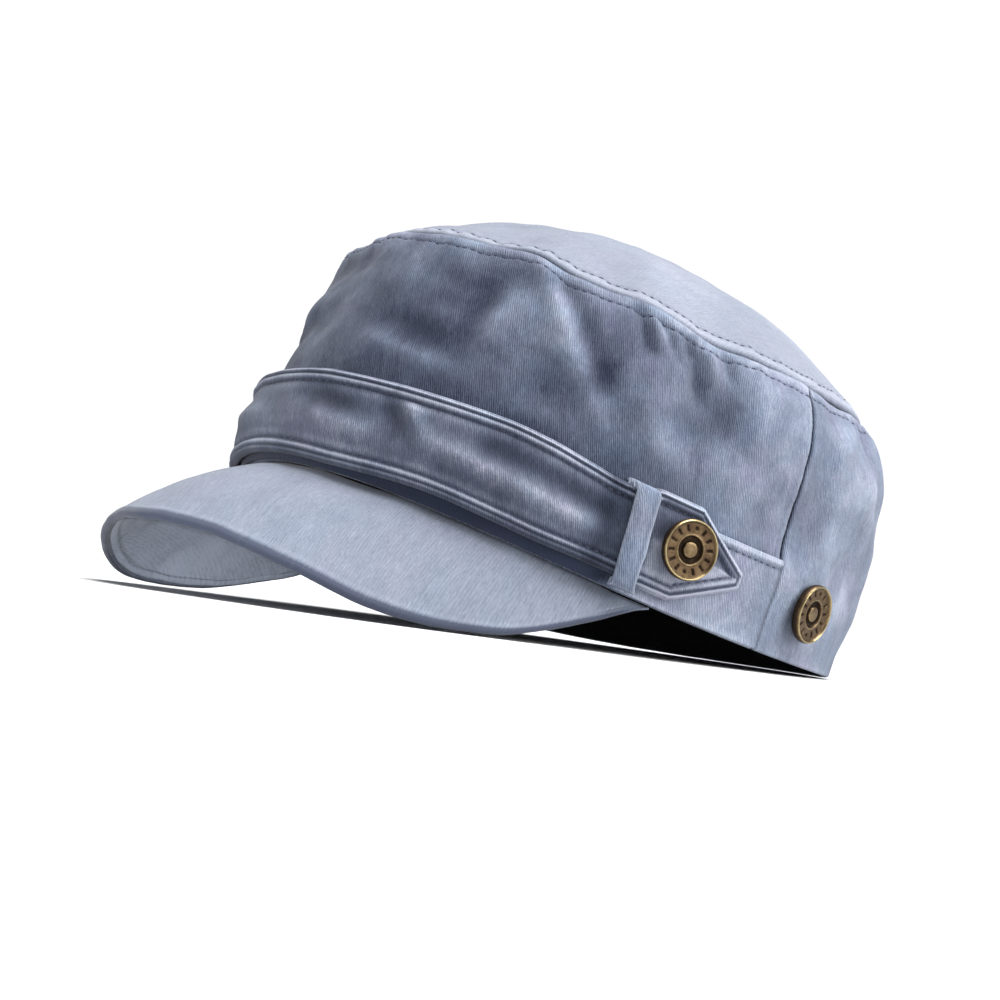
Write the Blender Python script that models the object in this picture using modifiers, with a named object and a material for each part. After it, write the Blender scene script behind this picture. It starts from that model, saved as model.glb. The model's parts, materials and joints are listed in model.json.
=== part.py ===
"""A soft denim cap with a flat domed top, a curved peak, a front strap and brass buttons.

Units are metres, +Z is up, the peak points along -Y and the wearer's left side is +X.
The pieces are shaped in the cap's own frame, where the lower edge of the crown lies in the
plane z = 0. An empty then tips the whole cap back, so that it rests on a level surface at
z = 0 the way a real one does: on the low sides of its peak and on the back of its rim.

Angles go round the head in degrees: 0 is the front, 90 the wearer's left and 180 the back.
"""

import math

import bmesh
import bpy
from mathutils import Matrix, Vector

# Crown, measured on the outside of the cloth
RIM_WIDTH = 0.161
RIM_FRONT = 0.102
RIM_BACK = 0.105
TOP_WIDTH = 0.154
TOP_FRONT = 0.0805
TOP_BACK = 0.0915
HEIGHT_FRONT = 0.088
HEIGHT_SIDE = 0.0755
HEIGHT_BACK = 0.0778
TOP_RISE = 0.0264
SHOULDER_FRONT = 0.007
SHOULDER_SIDE = 0.0155
SHOULDER_BACK = 0.029
RIM_FLARE = 0.001
RIM_FRONT_RISE = 0.009
RIM_SIDE_DIP = 0.006
HEAD_TAPER = 0.02
SIDE_SEAM_ANGLE = 104.0

# Cloth
CLOTH = 0.0016
BAND_CLOTH = 0.0012
GAP = 0.0003
SEAM_GAP = 0.0009

# Lower band and sweatband
BAND_HEIGHT = 0.0275
BAND_HEM = 0.0008
SWEATBAND_HEIGHT = 0.026
SWEATBAND_CLOTH = 0.0014

# Strap round the front, with a pointed tab at each end
STRAP_BOTTOM = 0.0038
STRAP_HEIGHT = 0.028
STRAP_FRONT_LIFT = 0.002
STRAP_FRONT_NARROWING = 0.008
STRAP_CLOTH = 0.0020
STRAP_RELIEF = 0.0009
STRAP_LEAN = 0.0015
TAB_TIP_ANGLE = 94.0
TAB_TIP_LEVEL = 0.46
TAB_TAPER_TOP = 11.0
TAB_TAPER_BOTTOM = 12.5
TAB_TIP_ROUND = 0.0040

# Loops that hold the strap
LOOP_ANGLE = 72.0
LOOP_WIDTH = 0.0084
LOOP_CLOTH = 0.0016
LOOP_OVERHANG = 0.0022
LOOP_TAIL = 0.0022
LOOP_RISE = 0.0006
LOOP_SLOPE = 0.0002
LOOP_CORNER = 0.0016
LOOP_BULGE = 0.0005

# Buttons
BUTTON_RADIUS = 0.0091
BUTTON_THICKNESS = 0.0030
BUTTON_SHANK_RADIUS = 0.0036
BUTTON_SHANK_HEIGHT = 0.0016
TAB_BUTTON_ANGLE = 81.2
TAB_BUTTON_HEIGHT = 0.0189
BACK_BUTTON_ANGLE = 114.2
BACK_BUTTON_HEIGHT = 0.0162

# Peak
PEAK_LENGTH = 0.0425
PEAK_THICKNESS = 0.0032
PEAK_CORNER_ANGLE = 80.0
PEAK_DROP = 0.0250
PEAK_CAMBER = 0.0035

# Folds of the soft crown
FOLD_DEPTH = 0.0036
FOLD_START = 0.006
FOLD_FADE_HEIGHT = 0.012
FOLD_FADE_ANGLE = 12.0
FOLD_FADE_TOP = 0.10
SEAM_WAVE = 0.0030

# How finely the cloth is divided
FRONT_COLUMNS = 44
BACK_COLUMNS = 32
WALL_ROWS = 10
TOP_RINGS = 6
WALL_ROW_CROWDING = 1.25
STRAP_COLUMNS = 40
TAB_COLUMNS = 6
PEAK_COLUMNS = 36
PEAK_ROWS = 7
RING_COLUMNS = 48
BAND_ROWS = 3
BUTTON_SIDES = 20
LOOP_COLUMNS = 3

# Steps for measuring slopes of the crown: degrees of turn and shares of the wall or top
TURN_STEP = 1.0
SHARE_STEP = 0.02

# The free edge of the peak, from the front centre to the corner, as shares of its reach:
# turn towards the corner, half width, reach forward, drop below the corners
PEAK_EDGE = (
    (0.00, 0.00, 1.000, 0.54),
    (0.20, 0.34, 0.945, 0.58),
    (0.40, 0.66, 0.840, 0.77),
    (0.60, 0.92, 0.655, 1.00),
    (0.80, 1.00, 0.390, 0.84),
    (0.92, 1.01, 0.150, 0.36),
    (1.00, 1.00, 0.000, 0.00),
)

# Folds in the side wall: angle, height, lean in degrees over the whole height, half width in
# degrees, half length and depth, where heights and lengths are shares of the wall's height
# and a depth of 1 stands out by FOLD_DEPTH
FOLDS = (
    (38.0, 0.78, 16.0, 4.0, 0.26, 1.00),
    (45.0, 0.72, 18.0, 3.6, 0.22, -0.95),
    (53.0, 0.70, 10.0, 4.5, 0.24, 0.55),
    (64.0, 0.86, 4.0, 2.6, 0.12, -0.70),
    (70.0, 0.84, 5.0, 2.6, 0.12, 0.45),
    (77.0, 0.83, 10.0, 2.8, 0.16, -0.75),
    (85.0, 0.76, 14.0, 4.0, 0.22, 0.45),
    (18.0, 0.52, -38.0, 6.0, 0.14, 0.55),
    (8.0, 0.50, -34.0, 6.0, 0.14, -0.50),
    (-14.0, 0.62, 26.0, 6.0, 0.26, 0.50),
    (-30.0, 0.66, 20.0, 7.0, 0.26, -0.70),
    (-44.0, 0.74, -12.0, 6.0, 0.26, 0.90),
    (-58.0, 0.78, -10.0, 5.0, 0.22, -0.60),
    (-76.0, 0.74, -12.0, 5.0, 0.24, 0.60),
    (-88.0, 0.70, -14.0, 5.0, 0.24, -0.50),
    (112.0, 0.62, 6.0, 5.0, 0.30, -0.45),
    (124.0, 0.58, 8.0, 6.0, 0.34, 0.60),
    (137.0, 0.52, 6.0, 5.0, 0.34, -0.70),
    (150.0, 0.50, 4.0, 6.0, 0.36, 0.60),
    (164.0, 0.50, 0.0, 5.0, 0.36, -0.60),
    (178.0, 0.52, 0.0, 6.0, 0.36, 0.55),
    (-167.0, 0.50, -2.0, 5.0, 0.36, -0.65),
    (-152.0, 0.52, -4.0, 6.0, 0.36, 0.60),
    (-138.0, 0.54, -6.0, 5.0, 0.34, -0.60),
    (-122.0, 0.58, -8.0, 6.0, 0.32, 0.55),
)

# Waves in the height of the top seam: angle, half width in degrees, lift as a share of SEAM_WAVE
SEAM_WAVES = (
    (36.0, 7.0, 0.85),
    (62.0, 6.0, 0.30),
    (78.0, 7.0, -0.50),
    (-40.0, 9.0, -0.45),
    (-66.0, 7.0, -0.45),
    (-96.0, 9.0, 0.30),
    (150.0, 12.0, -0.40),
    (-145.0, 12.0, -0.40),
)

# Across the strap from its lower to its upper edge: share of its height, relief as a share of
# STRAP_RELIEF; the relief is highest on the turned edges and lowest in the stitched grooves
STRAP_SECTION = (
    (0.00, -1.0),
    (0.045, 0.80),
    (0.125, 0.00),
    (0.30, 0.45),
    (0.50, 0.60),
    (0.70, 0.45),
    (0.875, 0.00),
    (0.955, 0.80),
    (1.00, -1.0),
)

# Round a button from the middle of its face to its foot: radius as a share of BUTTON_RADIUS,
# height over the underside as a share of BUTTON_THICKNESS
BUTTON_FACE = (
    (0.00, 0.80),
    (0.22, 0.74),
    (0.27, 0.42),
    (0.42, 0.42),
    (0.48, 0.76),
    (0.84, 0.76),
    (0.93, 1.00),
    (1.00, 0.80),
    (1.00, 0.30),
    (0.93, 0.00),
)

MATERIALS = {
    "denim": ((0.23, 0.26, 0.36, 1.0), 0.85, 0.0),
    "denim_peak": ((0.33, 0.36, 0.47, 1.0), 0.85, 0.0),
    "denim_strap": ((0.18, 0.20, 0.29, 1.0), 0.85, 0.0),
    "brass": ((0.42, 0.30, 0.12, 1.0), 0.38, 1.0),
    "sweatband": ((0.012, 0.013, 0.016, 1.0), 0.9, 0.0),
}


def ease(x):
    """Smooth step from 0 to 1."""
    x = min(1.0, max(0.0, x))
    return x * x * (3.0 - 2.0 * x)


def wrapped(degrees):
    """The same direction between -180 and 180 degrees."""
    return (degrees + 180.0) % 360.0 - 180.0


def spread(start, end, steps):
    """Steps + 1 even values from start to end."""
    return [start + (end - start) * i / steps for i in range(steps + 1)]


def by_side(degrees, front, side, back):
    """A value that goes smoothly from front to side to back."""
    c = math.cos(math.radians(degrees))
    return side + (front - back) / 2 * c + ((front + back) / 2 - side) * c * c


def oval(degrees, width, front, back):
    """A point of a head-shaped oval, a little narrower in front."""
    angle = math.radians(degrees)
    c = math.cos(angle)
    x = width / 2 * math.sin(angle) * (1.0 - HEAD_TAPER * c)
    return Vector((x, -c * (front if c > 0 else back), 0.0))


def rim_point(degrees):
    """A point of the lower edge of the crown: it rises over the peak and dips over the ears."""
    point = oval(degrees, RIM_WIDTH, RIM_FRONT, RIM_BACK)
    point.z = by_side(degrees, RIM_FRONT_RISE, -RIM_SIDE_DIP, 0.0)
    return point


def seam_wave(degrees):
    """How far the top seam is lifted by the waves of the soft crown."""
    lift = 0.0
    for angle, half_width, share in SEAM_WAVES:
        lift += share * math.exp(-((wrapped(degrees - angle) / half_width) ** 2))
    return lift * SEAM_WAVE


def seam_point(degrees):
    """A point of the seam between the side wall and the top panel."""
    point = oval(degrees, TOP_WIDTH, TOP_FRONT, TOP_BACK)
    point.z = by_side(degrees, HEIGHT_FRONT, HEIGHT_SIDE, HEIGHT_BACK) + seam_wave(degrees)
    return point


def top_point(degrees, share):
    """A point of the domed top panel: share 0 is its centre and 1 its seam."""
    seam = seam_point(degrees)
    centre_height = (HEIGHT_FRONT + HEIGHT_BACK) / 2 + TOP_RISE
    height = centre_height + (seam.z - centre_height) * share * share
    return Vector((seam.x * share, seam.y * share, height))


def plain_wall_point(degrees, share):
    """A point of the side wall without folds: share 0 is the rim and 1 the top seam."""
    rim = rim_point(degrees)
    seam = seam_point(degrees)
    over_edge = (top_point(degrees, 1.0 + SHARE_STEP) - seam).normalized()
    shoulder = by_side(degrees, SHOULDER_FRONT, SHOULDER_SIDE, SHOULDER_BACK)
    outward = Vector((rim.x, rim.y, 0)).normalized()
    low = rim + outward * RIM_FLARE + Vector((0, 0, (seam.z - rim.z) / 3))
    high = seam + over_edge * shoulder
    u = 1.0 - share
    return rim * u**3 + low * (3 * u * u * share) + high * (3 * u * share * share) + seam * share**3


def wall_normal(degrees, share):
    """The outward direction of the plain wall."""
    low, high = max(0.0, share - SHARE_STEP), min(1.0, share + SHARE_STEP)
    before, after = degrees - TURN_STEP, degrees + TURN_STEP
    along = plain_wall_point(after, share) - plain_wall_point(before, share)
    up = plain_wall_point(degrees, high) - plain_wall_point(degrees, low)
    return along.cross(up).normalized()


def fold_offset(degrees, share):
    """How far the cloth stands out of the plain wall. It lies flat on the sweatband, under
    the strap and along the top seam."""
    height = plain_wall_point(degrees, share).z - rim_point(degrees).z
    at_front = ease((SIDE_SEAM_ANGLE - abs(wrapped(degrees))) / FOLD_FADE_ANGLE)
    strap_top = STRAP_BOTTOM + STRAP_HEIGHT + LOOP_OVERHANG
    held_to = SWEATBAND_HEIGHT + max(0.0, strap_top - SWEATBAND_HEIGHT) * at_front
    loose = ease((height - held_to - FOLD_START) / FOLD_FADE_HEIGHT) * ease((1.0 - share) / FOLD_FADE_TOP)
    total = 0.0
    for angle, level, lean, half_width, half_length, depth in FOLDS:
        across = wrapped(degrees - angle - lean * (level - share)) / half_width
        along = (share - level) / half_length
        total += depth * math.exp(-across * across - along * along)
    return total * FOLD_DEPTH * loose


def wall_point(degrees, share):
    return plain_wall_point(degrees, share) + wall_normal(degrees, share) * fold_offset(degrees, share)


def share_at(degrees, height):
    """The share of the wall that lies this high over its rim."""
    low, high = 0.0, 1.0
    rim_height = rim_point(degrees).z
    for _ in range(18):
        middle = (low + high) / 2
        if plain_wall_point(degrees, middle).z - rim_height < height:
            low = middle
        else:
            high = middle
    return (low + high) / 2


def on_wall(degrees, height, offset):
    """A point at this height over the rim and this far outside the plain wall."""
    share = share_at(degrees, height)
    return plain_wall_point(degrees, share) + wall_normal(degrees, share) * offset


def degrees_for(length, degrees, height):
    """The turn round the wall that covers this length at an angle and height."""
    before, after = degrees - TURN_STEP / 2, degrees + TURN_STEP / 2
    step = on_wall(after, height, 0.0) - on_wall(before, height, 0.0)
    return length * TURN_STEP / step.length


def between_rows(table, where):
    """A row of the table at any place of its first column, by a smooth curve through the rows."""
    i = 0
    while i < len(table) - 2 and where > table[i + 1][0]:
        i += 1
    before = table[i - 1] if i else None
    start, end = table[i], table[i + 1]
    after = table[i + 2] if i + 2 < len(table) else None
    span = end[0] - start[0]
    t = (where - start[0]) / span
    row = []
    for k in range(1, len(start)):
        middle_slope = (end[k] - start[k]) / span
        slope_in = (end[k] - before[k]) / (end[0] - before[0]) if before else middle_slope
        slope_out = (after[k] - start[k]) / (after[0] - start[0]) if after else middle_slope
        if before is None and k > 1:
            slope_in = 0.0
        hermite = (
            (2 * t**3 - 3 * t**2 + 1) * start[k]
            + (t**3 - 2 * t**2 + t) * span * slope_in
            + (-2 * t**3 + 3 * t**2) * end[k]
            + (t**3 - t**2) * span * slope_out
        )
        row.append(hermite)
    return row


def new_object(name, mesh, material):
    """An object of the cap, on the cap's empty."""
    thing = bpy.data.objects.new(name, mesh)
    cap_collection.objects.link(thing)
    thing.parent = cap_empty
    mesh.materials.append(materials[material])
    return thing


def cloth_sheet(name, columns, thickness, material, closed=False, inward=True):
    """A sheet of cloth through columns of points, thickened on its inner side."""
    bm = bmesh.new()
    grid = [[bm.verts.new(point) for point in column] for column in columns]
    pairs = list(zip(grid, grid[1:]))
    if closed:
        pairs.append((grid[-1], grid[0]))
    for left, right in pairs:
        for i in range(len(left) - 1):
            bm.faces.new((left[i], right[i], right[i + 1], left[i + 1]))
    mesh = bpy.data.meshes.new(name)
    bm.to_mesh(mesh)
    bm.free()
    sheet = new_object(name, mesh, material)
    solidify = sheet.modifiers.new("thickness", "SOLIDIFY")
    solidify.thickness = thickness
    solidify.offset = -1.0 if inward else 1.0
    solidify.use_even_offset = True
    return sheet


def build_wall(name, start, end, columns):
    """One panel of the side wall between two angles."""
    half_gap = degrees_for(GAP / 2, start, HEIGHT_SIDE / 2)
    angles = spread(start + half_gap, end - half_gap, columns)
    shares = [1.0 - (1.0 - s) ** WALL_ROW_CROWDING for s in spread(0.0, 1.0, WALL_ROWS)]
    points = [[wall_point(a, s) for s in shares] for a in angles]
    cloth_sheet(name, points, CLOTH, "denim")


def build_top():
    """The oval top panel, in rings from its seam to its centre."""
    bm = bmesh.new()
    outer_share = 1.0 - SEAM_GAP * 2 / TOP_WIDTH
    shares = spread(outer_share, 0.0, TOP_RINGS)[:-1]
    angles = spread(0.0, 360.0, FRONT_COLUMNS + BACK_COLUMNS)[:-1]
    rings = [[bm.verts.new(top_point(a, s)) for a in angles] for s in shares]
    centre = bm.verts.new(top_point(0.0, 0.0))
    for outer, inner in zip(rings, rings[1:]):
        for i in range(len(angles)):
            j = (i + 1) % len(angles)
            bm.faces.new((outer[i], outer[j], inner[j], inner[i]))
    for i in range(len(angles)):
        bm.faces.new((rings[-1][i], rings[-1][(i + 1) % len(angles)], centre))
    mesh = bpy.data.meshes.new("crown_top")
    bm.to_mesh(mesh)
    bm.free()
    top = new_object("crown_top", mesh, "denim")
    solidify = top.modifiers.new("thickness", "SOLIDIFY")
    solidify.thickness = CLOTH
    solidify.offset = -1.0
    solidify.use_even_offset = True


def build_lower_band():
    """The band sewn over the foot of the front wall, from side seam to side seam."""
    reach = SIDE_SEAM_ANGLE - degrees_for(GAP, SIDE_SEAM_ANGLE, BAND_HEIGHT / 2)
    heights = spread(BAND_HEM, BAND_HEIGHT, BAND_ROWS)
    offset = GAP + BAND_CLOTH
    points = [[on_wall(a, h, offset) for h in heights] for a in spread(-reach, reach, FRONT_COLUMNS)]
    cloth_sheet("lower_band", points, BAND_CLOTH, "denim")


def build_sweatband():
    """The dark band inside the rim."""
    offset = -(CLOTH + GAP)
    heights = spread(BAND_HEM, SWEATBAND_HEIGHT, BAND_ROWS)
    angles = spread(0.0, 360.0, RING_COLUMNS)[:-1]
    points = [[on_wall(a, h, offset) for h in heights] for a in angles]
    cloth_sheet("sweatband", points, SWEATBAND_CLOTH, "sweatband", closed=True)


def strap_offset(degrees, level):
    """How far the plain strap's outer face stands off the wall."""
    seat = GAP + BAND_CLOTH + GAP + STRAP_CLOTH + STRAP_RELIEF
    lean = STRAP_LEAN * ease((LOOP_ANGLE - abs(degrees)) / LOOP_ANGLE) * level
    return seat + lean


def strap_edges(degrees):
    """The heights of the strap's lower and upper edge: it narrows to a point at each end."""
    front = ease((LOOP_ANGLE - abs(degrees)) / LOOP_ANGLE)
    bottom = STRAP_BOTTOM + STRAP_FRONT_LIFT * front
    top = bottom + STRAP_HEIGHT - STRAP_FRONT_NARROWING * front
    tip = STRAP_BOTTOM + STRAP_HEIGHT * TAB_TIP_LEVEL
    to_tip = TAB_TIP_ANGLE - abs(degrees)
    rise = min(1.0, max(0.0, to_tip / TAB_TAPER_TOP))
    fall = min(1.0, max(0.0, to_tip / TAB_TAPER_BOTTOM))
    upper = tip + TAB_TIP_ROUND / 2 + (top - tip - TAB_TIP_ROUND / 2) * rise
    lower = tip - TAB_TIP_ROUND / 2 - (tip - TAB_TIP_ROUND / 2 - bottom) * fall
    return lower, upper


def strap_face(degrees, height):
    """How far the strap's outer face, with its relief, stands off the wall at this height."""
    lower, upper = strap_edges(degrees)
    level = (height - lower) / (upper - lower)
    return strap_offset(degrees, level) + between_rows(STRAP_SECTION, level)[0] * STRAP_RELIEF


def build_strap():
    """The front strap, with turned edges and a pointed tab at each end."""
    taper_start = TAB_TIP_ANGLE - max(TAB_TAPER_TOP, TAB_TAPER_BOTTOM)
    main = spread(-taper_start, taper_start, STRAP_COLUMNS)
    end = spread(taper_start, TAB_TIP_ANGLE, TAB_COLUMNS)[1:]
    angles = [-a for a in reversed(end)] + main + end
    points = []
    for angle in angles:
        lower, upper = strap_edges(angle)
        column = []
        for level, relief in STRAP_SECTION:
            offset = strap_offset(angle, level) + relief * STRAP_RELIEF
            column.append(on_wall(angle, lower + (upper - lower) * level, offset))
        points.append(column)
    cloth_sheet("strap", points, STRAP_CLOTH, "denim_strap")


def build_loop(name, side):
    """A cloth loop over the strap: it leaves the wall under the strap and meets it again above."""
    foot = GAP + BAND_CLOTH + GAP + LOOP_CLOTH
    head = GAP + LOOP_CLOTH
    low = STRAP_BOTTOM - LOOP_OVERHANG
    high = STRAP_BOTTOM + STRAP_HEIGHT + LOOP_OVERHANG
    width = degrees_for(LOOP_WIDTH, LOOP_ANGLE, STRAP_HEIGHT / 2)
    over = strap_offset(LOOP_ANGLE, 0.0) + STRAP_RELIEF + GAP + LOOP_CLOTH
    path = (
        (low - LOOP_TAIL, foot),
        (low, foot + LOOP_RISE),
        (low + LOOP_SLOPE, (foot + over) / 2),
        (low + LOOP_CORNER, over - LOOP_SLOPE),
        (STRAP_BOTTOM + STRAP_HEIGHT * 0.20, over + LOOP_BULGE),
        (STRAP_BOTTOM + STRAP_HEIGHT * 0.50, over + LOOP_BULGE),
        (STRAP_BOTTOM + STRAP_HEIGHT * 0.80, over + LOOP_BULGE),
        (high - LOOP_CORNER, over - LOOP_SLOPE),
        (high - LOOP_SLOPE, (head + over) / 2),
        (high, head + LOOP_RISE),
        (high + LOOP_TAIL, head),
    )
    points = []
    for angle in spread(LOOP_ANGLE - width / 2, LOOP_ANGLE + width / 2, LOOP_COLUMNS):
        points.append([on_wall(side * angle, height, offset) for height, offset in path])
    if side < 0:
        points.reverse()
    cloth_sheet(name, points, LOOP_CLOTH, "denim")


def build_button(name, degrees, height, seat):
    """A domed metal button on a short shank, square to the wall."""
    profile = [(r * BUTTON_RADIUS, BUTTON_SHANK_HEIGHT + h * BUTTON_THICKNESS) for r, h in BUTTON_FACE]
    profile += [(BUTTON_SHANK_RADIUS, BUTTON_SHANK_HEIGHT), (BUTTON_SHANK_RADIUS, 0.0), (0.0, 0.0)]
    mesh = bpy.data.meshes.new(name)
    edges = [(i, i + 1) for i in range(len(profile) - 1)]
    mesh.from_pydata([(r, 0.0, z) for r, z in profile], edges, [])
    button = new_object(name, mesh, "brass")
    screw = button.modifiers.new("turn", "SCREW")
    screw.steps = BUTTON_SIDES
    screw.render_steps = BUTTON_SIDES
    screw.use_merge_vertices = True
    screw.merge_threshold = 0.00001
    share = share_at(degrees, height)
    normal = wall_normal(degrees, share)
    button.rotation_mode = "QUATERNION"
    button.rotation_quaternion = normal.to_track_quat("Z", "Y")
    button.location = on_wall(degrees, height, seat + GAP)


def peak_edge_point(turn):
    """A point of the peak's free edge: turn 0 is the front centre, 1 and -1 its corners."""
    half_width, reach, drop = between_rows(PEAK_EDGE, abs(turn))
    corner = rim_point(PEAK_CORNER_ANGLE)
    forward = RIM_FRONT + PEAK_LENGTH + corner.y
    x = math.copysign(half_width * corner.x, turn)
    return Vector((x, corner.y - reach * forward, corner.z - GAP - drop * PEAK_DROP))


def peak_point(turn, share):
    """A point of the peak's upper face: share 0 is its seam under the wall and 1 its free edge."""
    angle = turn * PEAK_CORNER_ANGLE
    rim = rim_point(angle)
    inward = -Vector((rim.x, rim.y, 0)).normalized() * CLOTH
    below_cloth = -GAP - CLOTH * max(0.0, wall_normal(angle, 0.0).z)
    seam = rim + inward + Vector((0, 0, below_cloth))
    edge = peak_edge_point(turn)
    camber = PEAK_CAMBER * 4 * share * (1 - share) * (1 - abs(turn) ** 3)
    return seam.lerp(edge, share) + Vector((0, 0, camber))


def build_peak():
    turns = spread(-1.0, 1.0, PEAK_COLUMNS)
    shares = spread(0.0, 1.0, PEAK_ROWS)
    points = [[peak_point(t, s) for s in reversed(shares)] for t in turns]
    cloth_sheet("peak", points, PEAK_THICKNESS, "denim_peak")


def make_materials():
    for name, (colour, roughness, metallic) in MATERIALS.items():
        material = bpy.data.materials.new(name)
        material.use_nodes = True
        shader = material.node_tree.nodes["Principled BSDF"]
        shader.inputs["Base Color"].default_value = colour
        shader.inputs["Roughness"].default_value = roughness
        shader.inputs["Metallic"].default_value = metallic
        materials[name] = material


def all_points():
    """Every corner of the finished pieces, in the scene's frame."""
    bpy.context.view_layer.update()
    depsgraph = bpy.context.evaluated_depsgraph_get()
    points = []
    for thing in cap_collection.objects:
        if thing.type == "MESH":
            shape = thing.evaluated_get(depsgraph)
            points += [shape.matrix_world @ v.co for v in shape.data.vertices]
    return points


def lay_down():
    """Tips the cap back until its peak and the back of its rim are equally low, then sets it
    on z = 0 with the middle of its outline over the origin."""
    points = all_points()
    low, high = 0.0, math.radians(30.0)
    for _ in range(30):
        tip = (low + high) / 2
        turned = Matrix.Rotation(-tip, 3, "X")
        front = min((turned @ p).z for p in points if p.y < 0)
        back = min((turned @ p).z for p in points if p.y >= 0)
        if front < back:
            low = tip
        else:
            high = tip
    cap_empty.rotation_euler.x = -tip
    points = all_points()
    for axis in (0, 1):
        values = [p[axis] for p in points]
        cap_empty.location[axis] = -(min(values) + max(values)) / 2
    cap_empty.location.z = -min(p.z for p in points)


for thing in list(bpy.data.objects):
    bpy.data.objects.remove(thing)

materials = {}
make_materials()
cap_collection = bpy.data.collections.new("cap")
bpy.context.scene.collection.children.link(cap_collection)
cap_empty = bpy.data.objects.new("cap_frame", None)
cap_collection.objects.link(cap_empty)

build_wall("crown_front", -SIDE_SEAM_ANGLE, SIDE_SEAM_ANGLE, FRONT_COLUMNS)
build_wall("crown_back", SIDE_SEAM_ANGLE, 360.0 - SIDE_SEAM_ANGLE, BACK_COLUMNS)
build_top()
build_lower_band()
build_sweatband()
build_strap()
build_peak()
on_tab = strap_face(TAB_BUTTON_ANGLE, TAB_BUTTON_HEIGHT)
for side, word in ((1, "left"), (-1, "right")):
    build_loop(f"strap_loop_{word}", side)
    build_button(f"tab_button_{word}", side * TAB_BUTTON_ANGLE, TAB_BUTTON_HEIGHT, on_tab)
    build_button(f"back_button_{word}", side * BACK_BUTTON_ANGLE, BACK_BUTTON_HEIGHT, 0.0)
lay_down()
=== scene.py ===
"""The looks of the washed denim cap: high cloth surfaces, folds, seams, stitches and buttons.

Cloth is shaped in the cap's own frame in millimetres: the lower edge of the crown lies round
z = 0, the peak points along -Y and the wearer's left is +X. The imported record's head_opening
mount says how that frame lies when the cap rests on its peak and on the back of its rim.
A turn is an angle round the head in degrees: 0 front, 90 the wearer's left, 180 back.
"""

import json
import math

import bpy
import numpy as np
from mathutils import Matrix, Vector


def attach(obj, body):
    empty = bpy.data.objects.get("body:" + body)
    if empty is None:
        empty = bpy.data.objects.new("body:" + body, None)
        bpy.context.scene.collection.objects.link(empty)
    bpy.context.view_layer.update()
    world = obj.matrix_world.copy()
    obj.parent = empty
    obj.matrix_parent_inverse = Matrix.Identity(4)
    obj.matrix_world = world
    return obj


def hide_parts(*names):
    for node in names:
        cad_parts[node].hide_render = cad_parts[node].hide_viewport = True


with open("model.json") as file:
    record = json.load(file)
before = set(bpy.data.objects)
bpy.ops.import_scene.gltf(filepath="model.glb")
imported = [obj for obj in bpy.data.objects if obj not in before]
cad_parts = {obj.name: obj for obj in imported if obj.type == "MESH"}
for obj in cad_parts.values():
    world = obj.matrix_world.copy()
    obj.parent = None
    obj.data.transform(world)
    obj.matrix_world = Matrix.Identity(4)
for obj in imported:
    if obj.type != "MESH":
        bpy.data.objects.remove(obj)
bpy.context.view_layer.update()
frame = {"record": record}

MM = 0.001
BODY = "root"

# Crown, outside of the cloth, in millimetres
RIM_WIDTH = 161.0
RIM_FRONT = 102.0
RIM_BACK = 105.0
RIM_FRONT_RISE = 9.0
RIM_SIDE_DIP = 6.0
TOP_WIDTH = 154.0
TOP_FRONT = 80.5
TOP_BACK = 91.5
HEIGHT_FRONT = 88.0
HEIGHT_SIDE = 75.5
HEIGHT_BACK = 77.8
TOP_RISE = 26.4
SHOULDER_FRONT = 7.0
SHOULDER_SIDE = 15.5
SHOULDER_BACK = 29.0
RIM_FLARE = 1.0
HEAD_TAPER = 0.02
SIDE_SEAM = 104.0
CLOTH = 1.6
GAP = 0.3
SEAM_END = 0.3
SIDE_END = 0.18
NEAR_SEAM = 8.0
WALL_ROWS = 62
WALL_SEAM_ROWS = 20

# Lower band and sweatband
BAND_HEM = 0.8
BAND_HEIGHT = 27.5
BAND_CLOTH = 1.2
BAND_STITCH = 2.6
# How much darker the lower band is painted under the strap, as the strap's shadow
UNDER_STRAP_SHADE = 3.68
SWEATBAND_HEIGHT = 26.0
SWEATBAND_CLOTH = 1.4

# Strap with its pointed tabs, and the loops that hold it
STRAP_BOTTOM = 3.8
STRAP_HEIGHT = 28.0
STRAP_FRONT_LIFT = 2.0
STRAP_FRONT_NARROWING = 8.0
STRAP_CLOTH = 2.0
STRAP_RELIEF = 0.9
STRAP_LEAN = 1.5
STRAP_STITCH = 3.4
STRAP_STITCH_DEPTH = 0.35
TAB_TIP = 94.0
TAB_TIP_LEVEL = 0.46
TAB_TAPER_TOP = 11.0
TAB_TAPER_BOTTOM = 12.5
TAB_TIP_ROUND = 4.0
LOOP_TURN = 72.0
LOOP_HALF_TURN = 2.15
LOOP_CLOTH = 2.3
LOOP_TOP_TURN = 71.2
LOOP_LEAN = 1.8
LOOP_TOP_HEIGHT = 31.0
LOOP_LOW_HEIGHT = 1.2
LOOP_SWELL = 0.35
LOOP_CURL = 1.35
LOOP_PRESS = 0.9
STRAP_SAG = 3.2
STRAP_SLIP = 1.4
STRAP_SWELL = 1.6
STRAP_CINCH_TOP = 2.4
STRAP_CINCH_BOTTOM = 0.8

# Buttons
BUTTON_RADIUS = 9.1
BUTTON_LIFT = 1.6
BUTTON_HEIGHT = 3.0
BUTTON_MARK_DEPTH = 0.30
TAB_BUTTON = (81.2, 18.9)
BACK_BUTTON = (114.2, 16.2)
TAB_BUTTON_SEAT = 5.2
BUTTON_MARKS = 14

# Peak
PEAK_LENGTH = 42.5
PEAK_THICKNESS = 2.8
PEAK_CORNER = 80.0
PEAK_DROP = 25.0
PEAK_CAMBER = 3.5
PEAK_BINDING = 3.6
PEAK_EDGE_INSET = 1.2
# Painted light on the peak's underside: how much paler than its top it is made, standing in for light
# from below
PEAK_UNDER_PAINTED_LIGHT = 1.5
PEAK_CLOTH_ORIGIN = (150.0, 200.0)

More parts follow.
